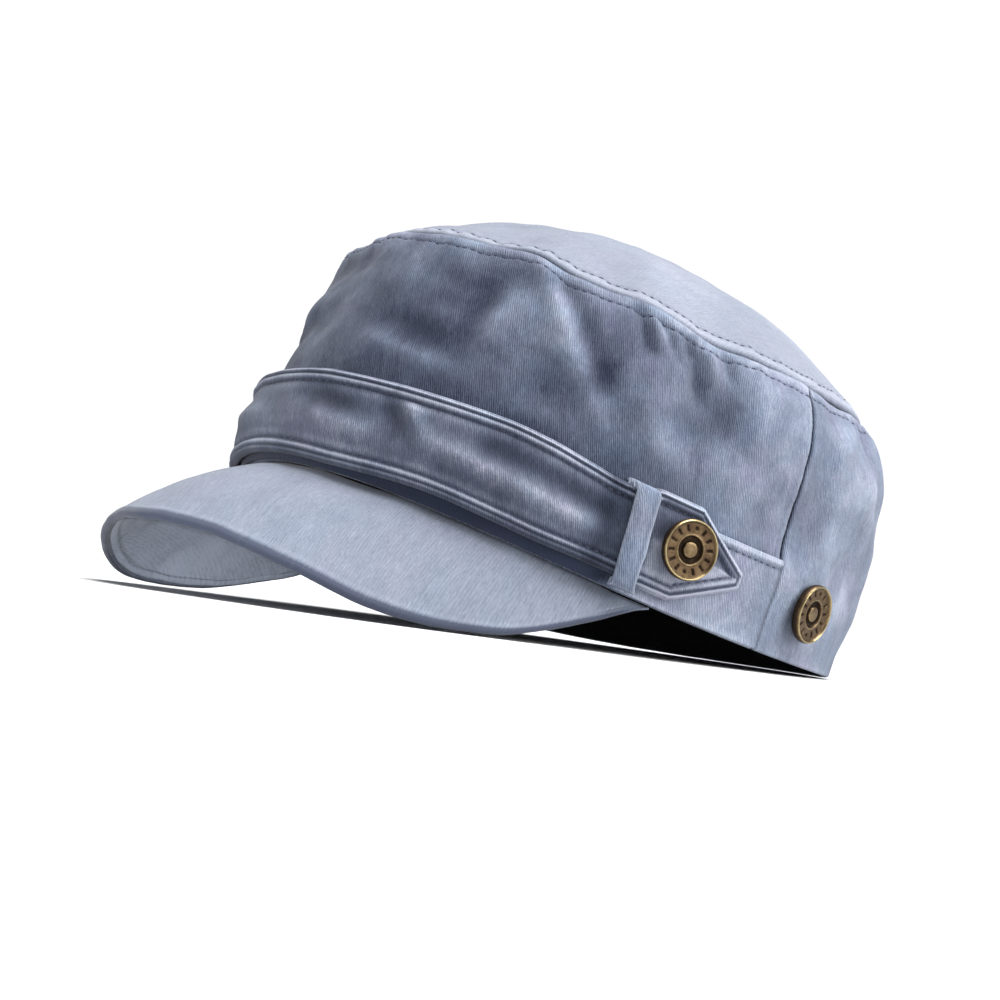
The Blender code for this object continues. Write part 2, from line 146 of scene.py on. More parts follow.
# Seams and stitches
TOP_STITCH = 4.4
STITCH_PITCH = 2.75
STITCH_LENGTH = 1.8
THREAD_RADIUS = 0.24
STITCH_LIFT = 0.05
STITCH_ARCH = 0.22
SEAM_FADE = 3.0
PUCKER_HEIGHT = 0.20
PINCH_REST = 0.5
PINCH_DEPTH = 0.55
FOLD_STRENGTH = 1.25
STRAP_FOLD_STRENGTH = 1.4
MM_PER_DEGREE = 1.47
WALL_LENGTH = 86.0

# Where the photograph was taken from, seen from the cap's own frame
CAMERA_AZIMUTH = 52.5
CAMERA_ELEVATION = -8.0
CAMERA_ROLL = 15.4
CAMERA_DISTANCE = 1160.0
CAMERA_FOCAL_PIXELS = 3720.0
CAMERA_TARGET_HEIGHT = 45.0
CAMERA_TARGET_PIXEL = (572.0, 445.5)
IMAGE_PIXELS = 1000.0
SENSOR_MM = 36.0
FLOOR_HALF = 30.0

# The free edge of the peak, from the front centre to the corner, as shares of its reach:
# turn towards the corner, half width, reach forward, drop below the corners
PEAK_EDGE = (
    (0.00, 0.00, 1.000, 0.54),
    (0.20, 0.34, 0.945, 0.58),
    (0.40, 0.66, 0.840, 0.77),
    (0.60, 0.92, 0.655, 1.00),
    (0.80, 1.00, 0.390, 0.84),
    (0.92, 1.01, 0.150, 0.36),
    (1.00, 1.00, 0.000, 0.00),
)

# Folds of the crown, each along a line on the wall: turn and share of the wall's height at its
# two ends, half width and height in millimetres
FOLDS = (
    (38.0, 0.90, 61.0, 0.42, 4.4, 2.0),
    (44.0, 0.85, 60.0, 0.54, 4.0, -1.6),
    (60.0, 0.94, 65.0, 0.72, 2.6, -1.7),
    (63.0, 0.90, 67.0, 0.76, 2.3, 1.2),
    (65.0, 0.91, 71.0, 0.76, 2.3, -1.2),
    (72.0, 0.88, 78.0, 0.66, 3.2, -1.8),
    (76.0, 0.90, 80.0, 0.76, 2.4, 1.2),
    (80.5, 0.94, 83.0, 0.80, 2.0, -1.0),
    (86.0, 0.90, 94.0, 0.68, 9.0, 1.3),
    (81.0, 0.74, 87.0, 0.56, 6.5, -1.3),
    (66.0, 0.60, 76.0, 0.36, 6.5, 1.2),
    (46.0, 0.48, 53.0, 0.40, 7.5, -1.6),
    (35.0, 0.68, 36.5, 0.42, 3.6, 0.9),
    (30.0, 0.72, 31.0, 0.50, 5.0, -1.0),
    (41.0, 0.46, 42.0, 0.34, 2.8, 0.8),
    (10.0, 0.43, 35.0, 0.37, 3.6, 1.8),
    (12.0, 0.52, 32.0, 0.47, 4.6, -1.2),
    (-30.0, 0.88, 2.0, 0.88, 6.5, 0.9),
    (-26.0, 0.74, -4.0, 0.76, 6.5, -1.2),
    (-40.0, 0.52, -10.0, 0.58, 4.2, 0.9),
    (-40.0, 0.43, -14.0, 0.49, 4.2, -0.9),
    (8.0, 0.80, 14.0, 0.56, 7.0, 0.9),
    (-58.0, 0.80, -26.0, 0.84, 15.0, 2.1),
    (-56.0, 0.92, -24.0, 0.93, 6.0, 0.5),
    (-62.0, 0.84, -70.0, 0.52, 4.0, -1.3),
    (-66.0, 0.92, -73.0, 0.64, 4.0, 1.4),
    (-74.0, 0.92, -78.0, 0.70, 3.0, -1.6),
    (-84.0, 0.88, -90.0, 0.50, 5.0, 1.2),
    (-93.0, 0.86, -97.0, 0.50, 4.0, -1.2),
    (111.0, 0.70, 109.0, 0.30, 5.0, -1.1),
    (117.0, 0.92, 115.0, 0.72, 4.6, 1.2),
    (127.0, 0.95, 128.0, 0.74, 4.0, -1.9),
    (123.0, 0.72, 134.0, 0.50, 5.0, 1.2),
    (130.0, 0.60, 123.0, 0.32, 5.0, -1.4),
    (136.0, 0.94, 141.0, 0.62, 5.0, 1.2),
    (140.0, 0.52, 137.0, 0.20, 5.0, 1.4),
    (148.0, 0.84, 146.0, 0.26, 5.5, -1.8),
    (157.0, 0.80, 155.0, 0.24, 6.0, 1.4),
    (166.0, 0.84, 167.0, 0.26, 5.5, -1.6),
    (176.0, 0.78, 178.0, 0.22, 6.5, 1.4),
    (187.0, 0.84, 189.0, 0.26, 5.5, -1.7),
    (198.0, 0.78, 200.0, 0.24, 6.5, 1.4),
    (210.0, 0.84, 212.0, 0.28, 5.5, -1.8),
    (221.0, 0.80, 222.0, 0.26, 6.0, 1.4),
    (233.0, 0.86, 231.0, 0.36, 5.5, -1.6),
    (244.0, 0.84, 246.0, 0.36, 6.0, 1.1),
)

# Folds of the strap in the same way, with shares of the strap's height
STRAP_FOLDS = (
    (33.0, 0.46, 66.0, 0.36, 3.0, 1.5),
    (42.0, 0.66, 68.0, 0.62, 3.0, -1.2),
    (28.0, 0.84, 33.0, 0.52, 2.4, 1.2),
    (24.0, 0.80, 28.0, 0.50, 2.6, -1.1),
    (10.0, 0.46, 24.0, 0.36, 2.8, 1.2),
    (4.0, 0.72, 18.0, 0.64, 3.0, -1.0),
    (36.0, 0.30, 50.0, 0.22, 2.6, -0.8),
    (-26.0, 0.56, -6.0, 0.42, 3.2, 1.1),
    (-34.0, 0.74, -18.0, 0.66, 3.0, -1.0),
    (-66.0, 0.44, -36.0, 0.42, 3.2, 1.4),
    (-62.0, 0.66, -42.0, 0.68, 3.0, -1.1),
)

# Waves in the height of the top seam: turn, half width in degrees, lift in millimetres
SEAM_WAVES = (
    (36.0, 7.0, 2.55),
    (62.0, 6.0, 0.90),
    (78.0, 7.0, -1.50),
    (-24.0, 14.0, -2.60),
    (-10.0, 9.0, -0.90),
    (-40.0, 9.0, -1.35),
    (-66.0, 7.0, -1.35),
    (-96.0, 9.0, 0.90),
    (150.0, 12.0, -1.20),
    (-145.0, 12.0, -1.20),
)

# Ridges and grooves across seams and edges, and the wear on them: distance from the line or
# edge in millimetres, half width, height. Those of the loops are in shares of their size
SEAM_RELIEF = ((1.9, 1.3, 0.26), (0.0, 0.6, -0.48), (TOP_STITCH, 0.55, -0.30))
SEAM_WEAR = ((1.9, 1.0, 0.55), (0.0, 0.7, -1.0), (3.4, 0.7, 0.30), (TOP_STITCH, 0.5, -0.5))
SIDE_RELIEF = ((1.5, 1.0, 0.22), (0.0, 0.6, -0.55))
SIDE_WEAR = ((1.4, 0.6, 0.25), (0.0, 0.5, -0.8))
BAND_RELIEF = ((1.1, 1.0, 0.35), (BAND_STITCH, 0.5, -0.30))
BAND_WEAR = ((0.6, 0.8, 0.9), (BAND_STITCH, 0.5, -0.5))
STRAP_EDGE_RELIEF = ((0.5, 0.4, 0.35), (1.2, 0.3, -0.35), (2.2, 0.6, 0.55),
                     (STRAP_STITCH, 0.5, -0.45), (0.0, 0.4, -0.35))
STRAP_EDGE_WEAR = ((0.35, 0.4, 1.2), (1.2, 0.3, -0.5), (2.2, 0.5, 1.3),
                   (STRAP_STITCH, 0.45, -0.7), (5.0, 1.0, 0.35))
TAB_EDGE_WEAR = ((0.35, 0.4, 0.7), (2.2, 0.5, -0.91))
LOOP_RELIEF = ((0.70, 0.14, 0.14), (0.46, 0.12, -0.14))
LOOP_WEAR = ((0.92, 0.10, 0.45), (0.50, 0.14, -0.25))
LOOP_BEND_WEAR = ((0.14, 0.05, 0.5), (0.88, 0.05, 0.4))
PEAK_EDGE_RELIEF = ((1.2, 0.9, 0.22), (2.6, 0.6, -0.12))
PEAK_EDGE_WEAR = ((0.2, 0.8, -1.9), (2.9, 0.6, 0.20))

# Random waves: how many, the shortest and longest in millimetres, seed, height in millimetres
WALL_SOFT = (40, 20.0, 50.0, 7, 0.55)
WALL_SMALL = (60, 6.0, 16.0, 8, 0.13)
TOP_SOFT = (40, 22.0, 60.0, 7, 0.45)
TOP_SMALL = (60, 7.0, 18.0, 8, 0.10)
BAND_WAVES = (40, 8.0, 26.0, 21, 0.07)
SWEATBAND_WAVES = (40, 6.0, 20.0, 22, 0.06)
STRAP_WAVES = (50, 6.0, 22.0, 31, 0.10)
LOOP_WAVES = (30, 5.0, 14.0, 41, 0.12)
PEAK_SOFT = (40, 14.0, 50.0, 51, 0.22)
PEAK_SMALL = (50, 5.0, 12.0, 52, 0.05)

# Where the strap's edges move, in turns: start, length of the rise, end, length of the fall
CINCH_SPAN = (54.0, 15.0, LOOP_TURN + 3.5, 5.5)
SAG_SPAN = (-60.0, 15.0, 42.0, 30.0)
SLIP_SPAN = (-65.0, 15.0, -5.0, 25.0)
SWELL_SPAN = (-10.0, 20.0, 60.0, 15.0)

# The button's section from its centre over its face and round to its shank: share of its
# radius, share of its height, shade
BUTTON_PROFILE = (
    (0.00, 0.80, 0.58), (0.10, 0.79, 0.58), (0.20, 0.77, 0.58), (0.245, 0.72, 0.72),
    (0.27, 0.55, 0.10), (0.30, 0.45, 0.02), (0.38, 0.44, 0.05), (0.43, 0.48, 0.08),
    (0.46, 0.70, 0.55), (0.485, 0.76, 0.75), (0.515, 0.75, 0.52), (0.55, 0.73, 0.46),
    (0.68, 0.73, 0.46), (0.82, 0.74, 0.46), (0.875, 0.76, 0.42), (0.905, 0.86, 0.70),
    (0.93, 0.98, 0.95), (0.955, 0.99, 0.98), (0.985, 0.86, 0.60), (1.00, 0.66, 0.35),
    (0.995, 0.40, 0.25), (0.97, 0.16, 0.12), (0.92, 0.02, 0.05), (0.80, 0.00, 0.0),
    (0.38, 0.00, 0.0), (0.36, -0.50, 0.0), (0.36, -0.53, 0.0),
)

# Colours by their place on a ramp, and the pitch of the sweatband's ribs in metres
DENIM_TINTS = ((0.34, (0.91, 1.00, 1.03)), (0.52, (1.0, 1.0, 1.0)), (0.70, (1.10, 1.0, 1.06)))
SWEATBAND_SHADES = ((0.35, (0.009, 0.010, 0.012)), (0.85, (0.035, 0.037, 0.042)))
RIB_PITCH = 0.0011
BRASS_SHADES = (
    (0.02, (0.016, 0.010, 0.006)),
    (0.35, (0.068, 0.042, 0.024)),
    (0.65, (0.140, 0.096, 0.051)),
    (1.00, (0.390, 0.310, 0.160)),
)


# Small helpers

def ease(x):
    x = np.clip(x, 0.0, 1.0)
    return x * x * (3.0 - 2.0 * x)


def bell(x):
    return np.exp(-x * x)


def wrapped(turn):
    return (turn + 180.0) % 360.0 - 180.0


def unit(vectors):
    return vectors / np.maximum(np.linalg.norm(vectors, axis=-1, keepdims=True), 1e-9)


def joined(*parts):
    return np.stack(np.broadcast_arrays(*parts), axis=-1)


def by_side(turn, front, side, back):
    """A value that goes smoothly from front to side to back."""
    c = np.cos(np.radians(turn))
    return side + (front - back) / 2 * c + ((front + back) / 2 - side) * c * c


def lengths_along(points, axis):
    """The running length over a grid of points along one of its axes."""
    steps = np.linalg.norm(np.diff(points, axis=axis), axis=-1)
    start = np.zeros_like(np.take(steps, [0], axis=axis))
    return np.concatenate([start, np.cumsum(steps, axis=axis)], axis=axis)


def ripples(points, count, shortest, longest, seed, height):
    """Smooth random relief of this height, from waves through space."""
    rng = np.random.default_rng(seed)
    total = np.zeros(points.shape[:-1])
    power = 0.0
    for _ in range(count):
        length = shortest * (longest / shortest) ** rng.random()
        direction = unit(rng.normal(size=3))
        phase = rng.uniform(0.0, 2 * math.pi)
        total += length * np.sin(points @ direction * (2 * math.pi / length) + phase)
        power += length * length / 2
    return total / math.sqrt(power) * height


def profile(distance, rows):
    """Ridges and grooves across a seam or an edge."""
    return sum(height * bell((distance - at) / half) for at, half, height in rows)


def window(turn, start, rise, end, fall):
    """One between the two turns, and smoothly down to nothing outside them."""
    return ease((turn - start) / rise) * ease((end - turn) / fall)


def ring_ripples(turn, fewest, most, count, seed):
    """Smooth random values of about unit size that close round the head."""
    rng = np.random.default_rng(seed)
    total = np.zeros(np.shape(turn))
    for _ in range(count):
        waves = rng.integers(fewest, most)
        total = total + np.sin(np.radians(turn) * waves + rng.uniform(0.0, 2 * math.pi))
    return total / math.sqrt(count / 2)


def along_lines(table, turn, share, length):
    """The relief of folds that run along lines on a wall or strap of this height."""
    total = np.zeros(np.broadcast(turn, share).shape)
    for turn_a, share_a, turn_b, share_b, half_width, height in table:
        line = np.array([wrapped(turn_b - turn_a) * MM_PER_DEGREE, (share_b - share_a) * length])
        reach = np.linalg.norm(line)
        x = wrapped(turn - turn_a) * MM_PER_DEGREE
        y = (share - share_a) * length
        along = (x * line[0] + y * line[1]) / reach
        across = (x * line[1] - y * line[0]) / reach
        soft = half_width * 1.6
        fade = ease((along + soft) / (2 * soft)) * ease((reach - along + soft) / (2 * soft))
        total += height * bell(across / half_width) * fade
    return total


# The crown's shape

def oval(turn, width, front, back):
    angle = np.radians(turn)
    c = np.cos(angle)
    x = width / 2 * np.sin(angle) * (1.0 - HEAD_TAPER * c)
    return joined(x, -c * np.where(c > 0, front, back), 0.0)


def rim_points(turn):
    points = oval(turn, RIM_WIDTH, RIM_FRONT, RIM_BACK)
    points[..., 2] = by_side(turn, RIM_FRONT_RISE, -RIM_SIDE_DIP, 0.0)
    return points


def seam_points(turn):
    points = oval(turn, TOP_WIDTH, TOP_FRONT, TOP_BACK)
    lift = sum(rise * bell(wrapped(turn - at) / half) for at, half, rise in SEAM_WAVES)
    points[..., 2] = by_side(turn, HEIGHT_FRONT, HEIGHT_SIDE, HEIGHT_BACK) + lift
    return points


def top_points(turn, share):
    """The domed top panel: share 0 is its centre and 1 its seam."""
    seam = seam_points(turn)
    centre = (HEIGHT_FRONT + HEIGHT_BACK) / 2 + TOP_RISE
    height = centre + (seam[..., 2] - centre) * share * share
    return joined(seam[..., 0] * share, seam[..., 1] * share, height)


def wall_points(turn, share):
    """The side wall without folds: share 0 is the rim and 1 the top seam."""
    rim = rim_points(turn)
    seam = seam_points(turn)
    over_edge = unit(top_points(turn, 1.02) - seam)
    shoulder = by_side(turn, SHOULDER_FRONT, SHOULDER_SIDE, SHOULDER_BACK)[..., None]
    outward = rim * np.array([1.0, 1.0, 0.0])
    third = joined(0.0, 0.0, (seam[..., 2] - rim[..., 2]) / 3)
    low = rim + unit(outward) * RIM_FLARE + third
    high = seam + over_edge * shoulder
    s = share[..., None]
    u = 1.0 - s
    return rim * u**3 + low * (3 * u * u * s) + high * (3 * u * s * s) + seam * s**3


def wall_normals(turn, share):
    low = np.clip(share - 0.02, 0.0, 1.0)
    high = np.clip(share + 0.02, 0.0, 1.0)
    along = wall_points(turn + 1.0, share) - wall_points(turn - 1.0, share)
    up = wall_points(turn, high) - wall_points(turn, low)
    return unit(np.cross(along, up))


def share_at(turn, height):
    """The share of the wall that lies this high over its rim."""
    low = np.zeros(np.broadcast(turn, height).shape)
    high = np.ones_like(low)
    turn = turn + low
    rim_height = rim_points(turn)[..., 2]
    for _ in range(20):
        middle = (low + high) / 2
        below = wall_points(turn, middle)[..., 2] - rim_height < height
        low = np.where(below, middle, low)
        high = np.where(below, high, middle)
    return (low + high) / 2


def on_wall(turn, height, offset):
    """Points at this height over the rim and this far outside the plain wall."""
    share = share_at(turn, height)
    turn = turn + np.zeros_like(share)
    offset = np.asarray(offset) + np.zeros_like(share)
    return wall_points(turn, share) + wall_normals(turn, share) * offset[..., None]


def wall_relief(turn, share, points):
    """How far the soft wall stands out of its plain shape. It lies nearly flat near the rim and
    under the strap."""
    height = points[..., 2] - rim_points(turn)[..., 2]
    at_front = ease((SIDE_SEAM - np.abs(wrapped(turn))) / 12.0)
    loose = ease((height - 6.0 - 27.0 * at_front) / 12.0)
    folds = FOLD_STRENGTH * along_lines(FOLDS, turn, share, WALL_LENGTH) * ease((1.0 - share) / 0.05)
    soft = ripples(points, *WALL_SOFT)
    return (folds + soft) * loose + ripples(points, *WALL_SMALL) * (0.3 + 0.7 * loose)


def seam_relief(distance, turn):
    """The top seam from its line outwards: a narrow groove, a welt and puckered stitches."""
    pucker = PUCKER_HEIGHT * ring_ripples(turn, 34, 86, 16, 3)
    pinch = PINCH_REST - PINCH_DEPTH * ring_ripples(turn, 9, 40, 10, 4).clip(0.9, 3.0)
    swell = pucker * bell((distance - 3.8) / 4.0) + pinch * bell((distance - 5.0) / 5.0)
    return profile(distance, SEAM_RELIEF) + swell * ease(distance / SEAM_FADE)


def side_seam_relief(distance, height):
    """The seam between the front and back of the wall."""
    twist = 1.0 + 0.25 * np.sin(height * 1.15) + 0.2 * np.sin(height * 0.62 + 1.0)
    return profile(distance, SIDE_RELIEF) * twist


# From the cap's frame to the scene

def cap_matrix():
    """Where the cap's own frame lies: the head_opening mount's place and direction."""
    mount = next(m for m in frame["record"]["mounts"] if m["name"] == "head_opening")
    up = -Vector(mount["axis"]).normalized()
    right = Vector((1.0, 0.0, 0.0))
    back = up.cross(right).normalized()
    matrix = Matrix((right, back, up)).transposed().to_4x4()
    matrix.translation = Vector(mount["pos_m"])
    return matrix


CAP = cap_matrix()


def placed(points):
    """Points in millimetres in the cap's frame, as metres in the scene."""
    turn = np.array(CAP.to_3x3())
    return points @ turn.T * MM + np.array(CAP.translation)


# Meshes

def new_piece(name, points, faces, material, replaces=(), uv=None, wear_and_painted_light=None):
    """A smooth mesh of the cap, with cloth coordinates in metres and a value per point for its colour:
    wear, and on some pieces painted shade and painted light.
    """
    mesh = bpy.data.meshes.new(name)
    mesh.from_pydata(placed(points.reshape(-1, 3)).tolist(), [], faces)
    mesh.shade_smooth()
    if uv is not None:
        layer = mesh.uv_layers.new(name="cloth")
        loops = np.zeros(len(mesh.loops), dtype=np.int32)
        mesh.loops.foreach_get("vertex_index", loops)
        layer.data.foreach_set("uv", (uv.reshape(-1, 2)[loops] * MM).astype(np.float32).ravel())
    if wear_and_painted_light is not None:
        attribute = mesh.attributes.new("wear_and_painted_light", "FLOAT", "POINT")
        attribute.data.foreach_set("value", np.ascontiguousarray(wear_and_painted_light.ravel(), dtype=np.float32))
    mesh.materials.append(material)
    mesh.update()
    piece = bpy.data.objects.new(name, mesh)
    bpy.context.scene.collection.objects.link(piece)
    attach(piece, BODY)
    if replaces:
        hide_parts(*replaces)
    return piece


def grid_normals(points, closed=False):
    if closed:
        along = np.roll(points, -1, axis=0) - np.roll(points, 1, axis=0)
    else:
        along = np.gradient(points, axis=0)
    return unit(np.cross(along, np.gradient(points, axis=1)))


def shell(name, outer, thickness, material, wear_and_painted_light, replaces, closed=False, edge_rows=3, uv=None,
          underside_wear_and_light=None, normals=None):
    """A layer of cloth: the outer grid, the inner face a thickness away and round edges between
    them. The grid runs along its columns first and up its rows second."""
    if normals is None:
        normals = grid_normals(outer, closed)
    columns, rows = outer.shape[:2]
    thickness = thickness + np.zeros((columns, 1))
    inner = outer - normals * thickness[:, None]
    bends = np.linspace(0.0, math.pi, edge_rows + 2)[1:-1]

    def rounded(last, before, normal):
        beyond = unit(last - before)
        half = thickness / 2
        centre = last - normal * half
        return [centre + (normal * math.cos(a) + beyond * math.sin(a)) * half for a in bends]

    top_edge = rounded(outer[:, -1], outer[:, -2], normals[:, -1])
    bottom_edge = rounded(outer[:, 0], outer[:, 1], normals[:, 0])
    ring = [outer[:, j] for j in range(rows)] + top_edge
    ring += [inner[:, j] for j in reversed(range(rows))] + bottom_edge[::-1]
    points = np.stack(ring, axis=1)
    count = points.shape[1]
    if uv is None:
        u = lengths_along(outer, 0)[:, rows // 2][:, None] + np.zeros((1, rows))
        uv = np.stack([u, lengths_along(outer, 1)], axis=-1)

    def around(values):
        # The inner face may carry its own values, such as the painted light under the peak.
        under = underside_wear_and_light if underside_wear_and_light is not None and values is wear_and_painted_light else values
        parts = [values[:, j] for j in range(rows)] + [values[:, -1]] * edge_rows
        parts += [under[:, j] for j in reversed(range(rows))] + [values[:, 0]] * edge_rows
        return np.stack(parts, axis=1)

    faces = []
    for i in range(columns if closed else columns - 1):
        a = i * count
        b = ((i + 1) % columns) * count
        for j in range(count):
            k = (j + 1) % count
            faces.append((a + j, b + j, b + k, a + k))
    if not closed:
        for column in (0, columns - 1):
            a = column * count
            ends = []
            for j in range(rows - 1):
                far = a + 2 * rows + edge_rows - 1 - j
                ends.append((a + j, a + j + 1, far - 1, far))
            ends.append(tuple(a + rows - 1 + k for k in range(edge_rows + 2)))
            low = a + 2 * rows + edge_rows - 1
            ends.append(tuple(low + k for k in range(edge_rows + 1)) + (a,))
            faces += ends if column == 0 else [end[::-1] for end in ends]
    return new_piece(name, points, faces, material, replaces, around(uv), around(wear_and_painted_light))


def dome(name, outer, thickness, material, wear_and_painted_light, replaces):
    """The top panel: closed rings from its seam to its centre, with a round edge."""
    normals = grid_normals(outer, True)
    inner = outer - normals * thickness
    columns, rows = outer.shape[:2]
    half = thickness / 2
    beyond = unit(outer[:, 0] - outer[:, 1])
    centre = outer[:, 0] - normals[:, 0] * half
    edge = [centre + (normals[:, 0] * math.cos(a) + beyond * math.sin(a)) * half
            for a in np.linspace(math.pi, 0.0, 5)[1:-1]]
    strip = [inner[:, j] for j in reversed(range(rows))] + edge + [outer[:, j] for j in range(rows)]
    points = np.stack(strip, axis=1)
    count = points.shape[1]
    wear_parts = [wear_and_painted_light[:, j] for j in reversed(range(rows))] + [wear_and_painted_light[:, 0]] * 3
    wear_parts += [wear_and_painted_light[:, j] for j in range(rows)]
    faces = []
    for i in range(columns):
        a = i * count
        b = ((i + 1) % columns) * count
        faces += [(a + j, b + j, b + j + 1, a + j + 1) for j in range(count - 1)]
    faces.append(tuple(i * count + count - 1 for i in range(columns)))
    faces.append(tuple(i * count for i in reversed(range(columns))))
    uv = points[..., :2] + 200.0
    return new_piece(name, points, faces, material, replaces, uv, np.stack(wear_parts, axis=1))


# Materials

class Nodes:
    """A material's node tree, built with short calls."""

    def __init__(self, name):
        self.material = bpy.data.materials.new(name)
        self.material.use_nodes = True
        self.tree = self.material.node_tree
        self.shader = self.tree.nodes["Principled BSDF"]

    def add(self, kind, **inputs):
        node = self.tree.nodes.new(kind)
        for key, value in inputs.items():
            self.put(node.inputs[key.replace("_", " ")], value)
        return node

    def put(self, socket, value):
        if isinstance(value, bpy.types.NodeSocket):
            self.tree.links.new(value, socket)
        else:
            socket.default_value = value

    def sum(self, operation, *values):
        """A Math node on numbers or sockets."""
        node = self.tree.nodes.new("ShaderNodeMath")
        node.operation = operation
        for socket, value in zip(node.inputs, values):
            self.put(socket, value)
        return node.outputs[0]

    def plus(self, a, b):
        return self.sum("ADD", a, b)

    def minus(self, a, b):
        return self.sum("SUBTRACT", a, b)

    def times(self, a, b):
        return self.sum("MULTIPLY", a, b)

    def cloth(self):
        """The places along and up the cloth, in metres."""
        node = self.tree.nodes.new("ShaderNodeUVMap")
        node.uv_map = "cloth"
        split = self.add("ShaderNodeSeparateXYZ", Vector=node.outputs["UV"])
        return split.outputs["X"], split.outputs["Y"]

    # The value per point of wear, painted shade and painted light
    def wear_and_painted_light(self):
        node = self.tree.nodes.new("ShaderNodeAttribute")
        node.attribute_name = "wear_and_painted_light"
        return node.outputs["Fac"]

    def bump(self, height, distance, strength):
        node = self.add("ShaderNodeBump", Height=height, Distance=distance, Strength=strength)
        self.put(self.shader.inputs["Normal"], node.outputs["Normal"])

    def blend(self, factor, a, b, mode="MIX"):
        node = self.tree.nodes.new("ShaderNodeMix")
        node.data_type = "RGBA"
        node.blend_type = mode
        self.put(node.inputs["Factor"], factor)
        self.put(node.inputs["A"], a)
        self.put(node.inputs["B"], b)
        return node.outputs["Result"]

    def vector(self, x, y, z=0.0):
        return self.add("ShaderNodeCombineXYZ", X=x, Y=y, Z=z).outputs[0]

    def noise(self, vector, scale, detail=2.0, roughness=0.5, distortion=0.0):
        node = self.add("ShaderNodeTexNoise", Vector=vector, Scale=scale, Detail=detail)
        node.inputs["Roughness"].default_value = roughness
        node.inputs["Distortion"].default_value = distortion
        return node.outputs["Fac"]

    def ramp(self, factor, stops):
        node = self.tree.nodes.new("ShaderNodeValToRGB")
        self.put(node.inputs["Fac"], factor)
        ramp = node.color_ramp
        while len(ramp.elements) < len(stops):
            ramp.elements.new(0.5)
        for element, (place, colour) in zip(ramp.elements, stops):
            element.position = place
            element.color = (*colour, 1.0)
        return node.outputs["Color"]


def denim(name, shades, line_angle, pitch, lines, mottle, wear_and_light_amount=0.30, tinted=0.8,
          rough=1.0):
    """Washed denim: fine weave lines, short threads, cloudy fading, and a value per point of wear on
    edges and ridges, which on some pieces also carries painted shade and painted light. The angle
    turns the weave's lines from the cloth's own up direction, in degrees, and the pitch is in metres."""
    n = Nodes(name)
    u, v = n.cloth()
    angle = math.radians(line_angle)
    across = n.plus(n.times(u, math.cos(angle)), n.times(v, math.sin(angle)))
    along = n.minus(n.times(v, math.cos(angle)), n.times(u, math.sin(angle)))

    def streaks(fine, long, detail, roughness, layer=0.0):
        place = n.vector(n.times(across, fine), n.times(along, long), layer)
        return n.noise(place, 1.0, detail, roughness)

    wobble = streaks(420.0, 130.0, 2.0, 0.5)
    phase = n.plus(n.sum("DIVIDE", across, pitch), n.times(wobble, 1.3))
    wave = n.sum("SINE", n.times(phase, 2 * math.pi))
    picks = n.sum("SINE", n.times(along, 2 * math.pi / (pitch * 0.9)))
    weave = n.plus(wave, n.times(n.times(wave, picks), 0.35))
    strands = streaks(2100.0, 420.0, 3.0, 0.62)
    slubs = streaks(700.0, 110.0, 2.0, 0.6, 4.0)
    grain = n.noise(n.vector(u, v, 2.0), 1500.0, 3.0, 0.65)
    clouds = n.noise(n.vector(u, v, 7.0), 30.0, 3.0, 0.5, 0.6)
    patches = n.noise(n.vector(u, n.times(v, 0.8), 9.0), 85.0, 5.0, 0.62, 0.5)
    value = n.plus(0.5, n.times(weave, lines))
    weights = ((strands, 0.42), (slubs, 0.20), (grain, 0.30), (clouds, mottle * 1.7),
               (patches, mottle * 1.4))
    for noise, weight in weights:
        value = n.plus(value, n.times(n.minus(noise, 0.5), weight))
    value = n.plus(value, n.times(n.wear_and_painted_light(), wear_and_light_amount))
    tint = n.ramp(n.noise(n.vector(u, v, 17.0), 55.0, 3.0, 0.6, 0.5), DENIM_TINTS)
    n.put(n.shader.inputs["Base Color"], n.blend(tinted, n.ramp(value, shades), tint, "MULTIPLY"))
    n.shader.inputs["Roughness"].default_value = 0.88
    n.shader.inputs["Specular IOR Level"].default_value = 0.18
    n.shader.inputs["Sheen Weight"].default_value = 0.12
    n.shader.inputs["Sheen Roughness"].default_value = 0.5
    height = n.plus(n.times(weave, lines * 4.0), n.times(strands, 1.2))
    n.bump(n.plus(height, n.times(patches, 2.0)), 0.00025 * rough, 0.6)
    return n.material


def thread(name, colour):
    n = Nodes(name)
    place = n.add("ShaderNodeNewGeometry").outputs["Position"]
    shade = n.ramp(n.noise(place, 1500.0, 2.0, 0.6),
                   ((0.3, tuple(c * 0.72 for c in colour)), (0.7, tuple(c * 1.3 for c in colour))))
    n.put(n.shader.inputs["Base Color"], shade)
    n.shader.inputs["Roughness"].default_value = 0.8
    n.shader.inputs["Sheen Weight"].default_value = 0.2
    return n.material


def band_cloth(name):
    """The dark cotton sweatband: fine ribs and a little lint."""
    n = Nodes(name)
    u, v = n.cloth()
    rib = n.sum("SINE", n.times(n.plus(u, v), 2 * math.pi / RIB_PITCH))
    lint = n.noise(n.vector(u, v), 1400.0, 3.0, 0.6)
    shade = n.plus(n.times(rib, 0.12), lint)
    n.put(n.shader.inputs["Base Color"], n.ramp(shade, SWEATBAND_SHADES))
    n.shader.inputs["Roughness"].default_value = 0.92
    n.bump(shade, 0.0002, 0.5)
    return n.material


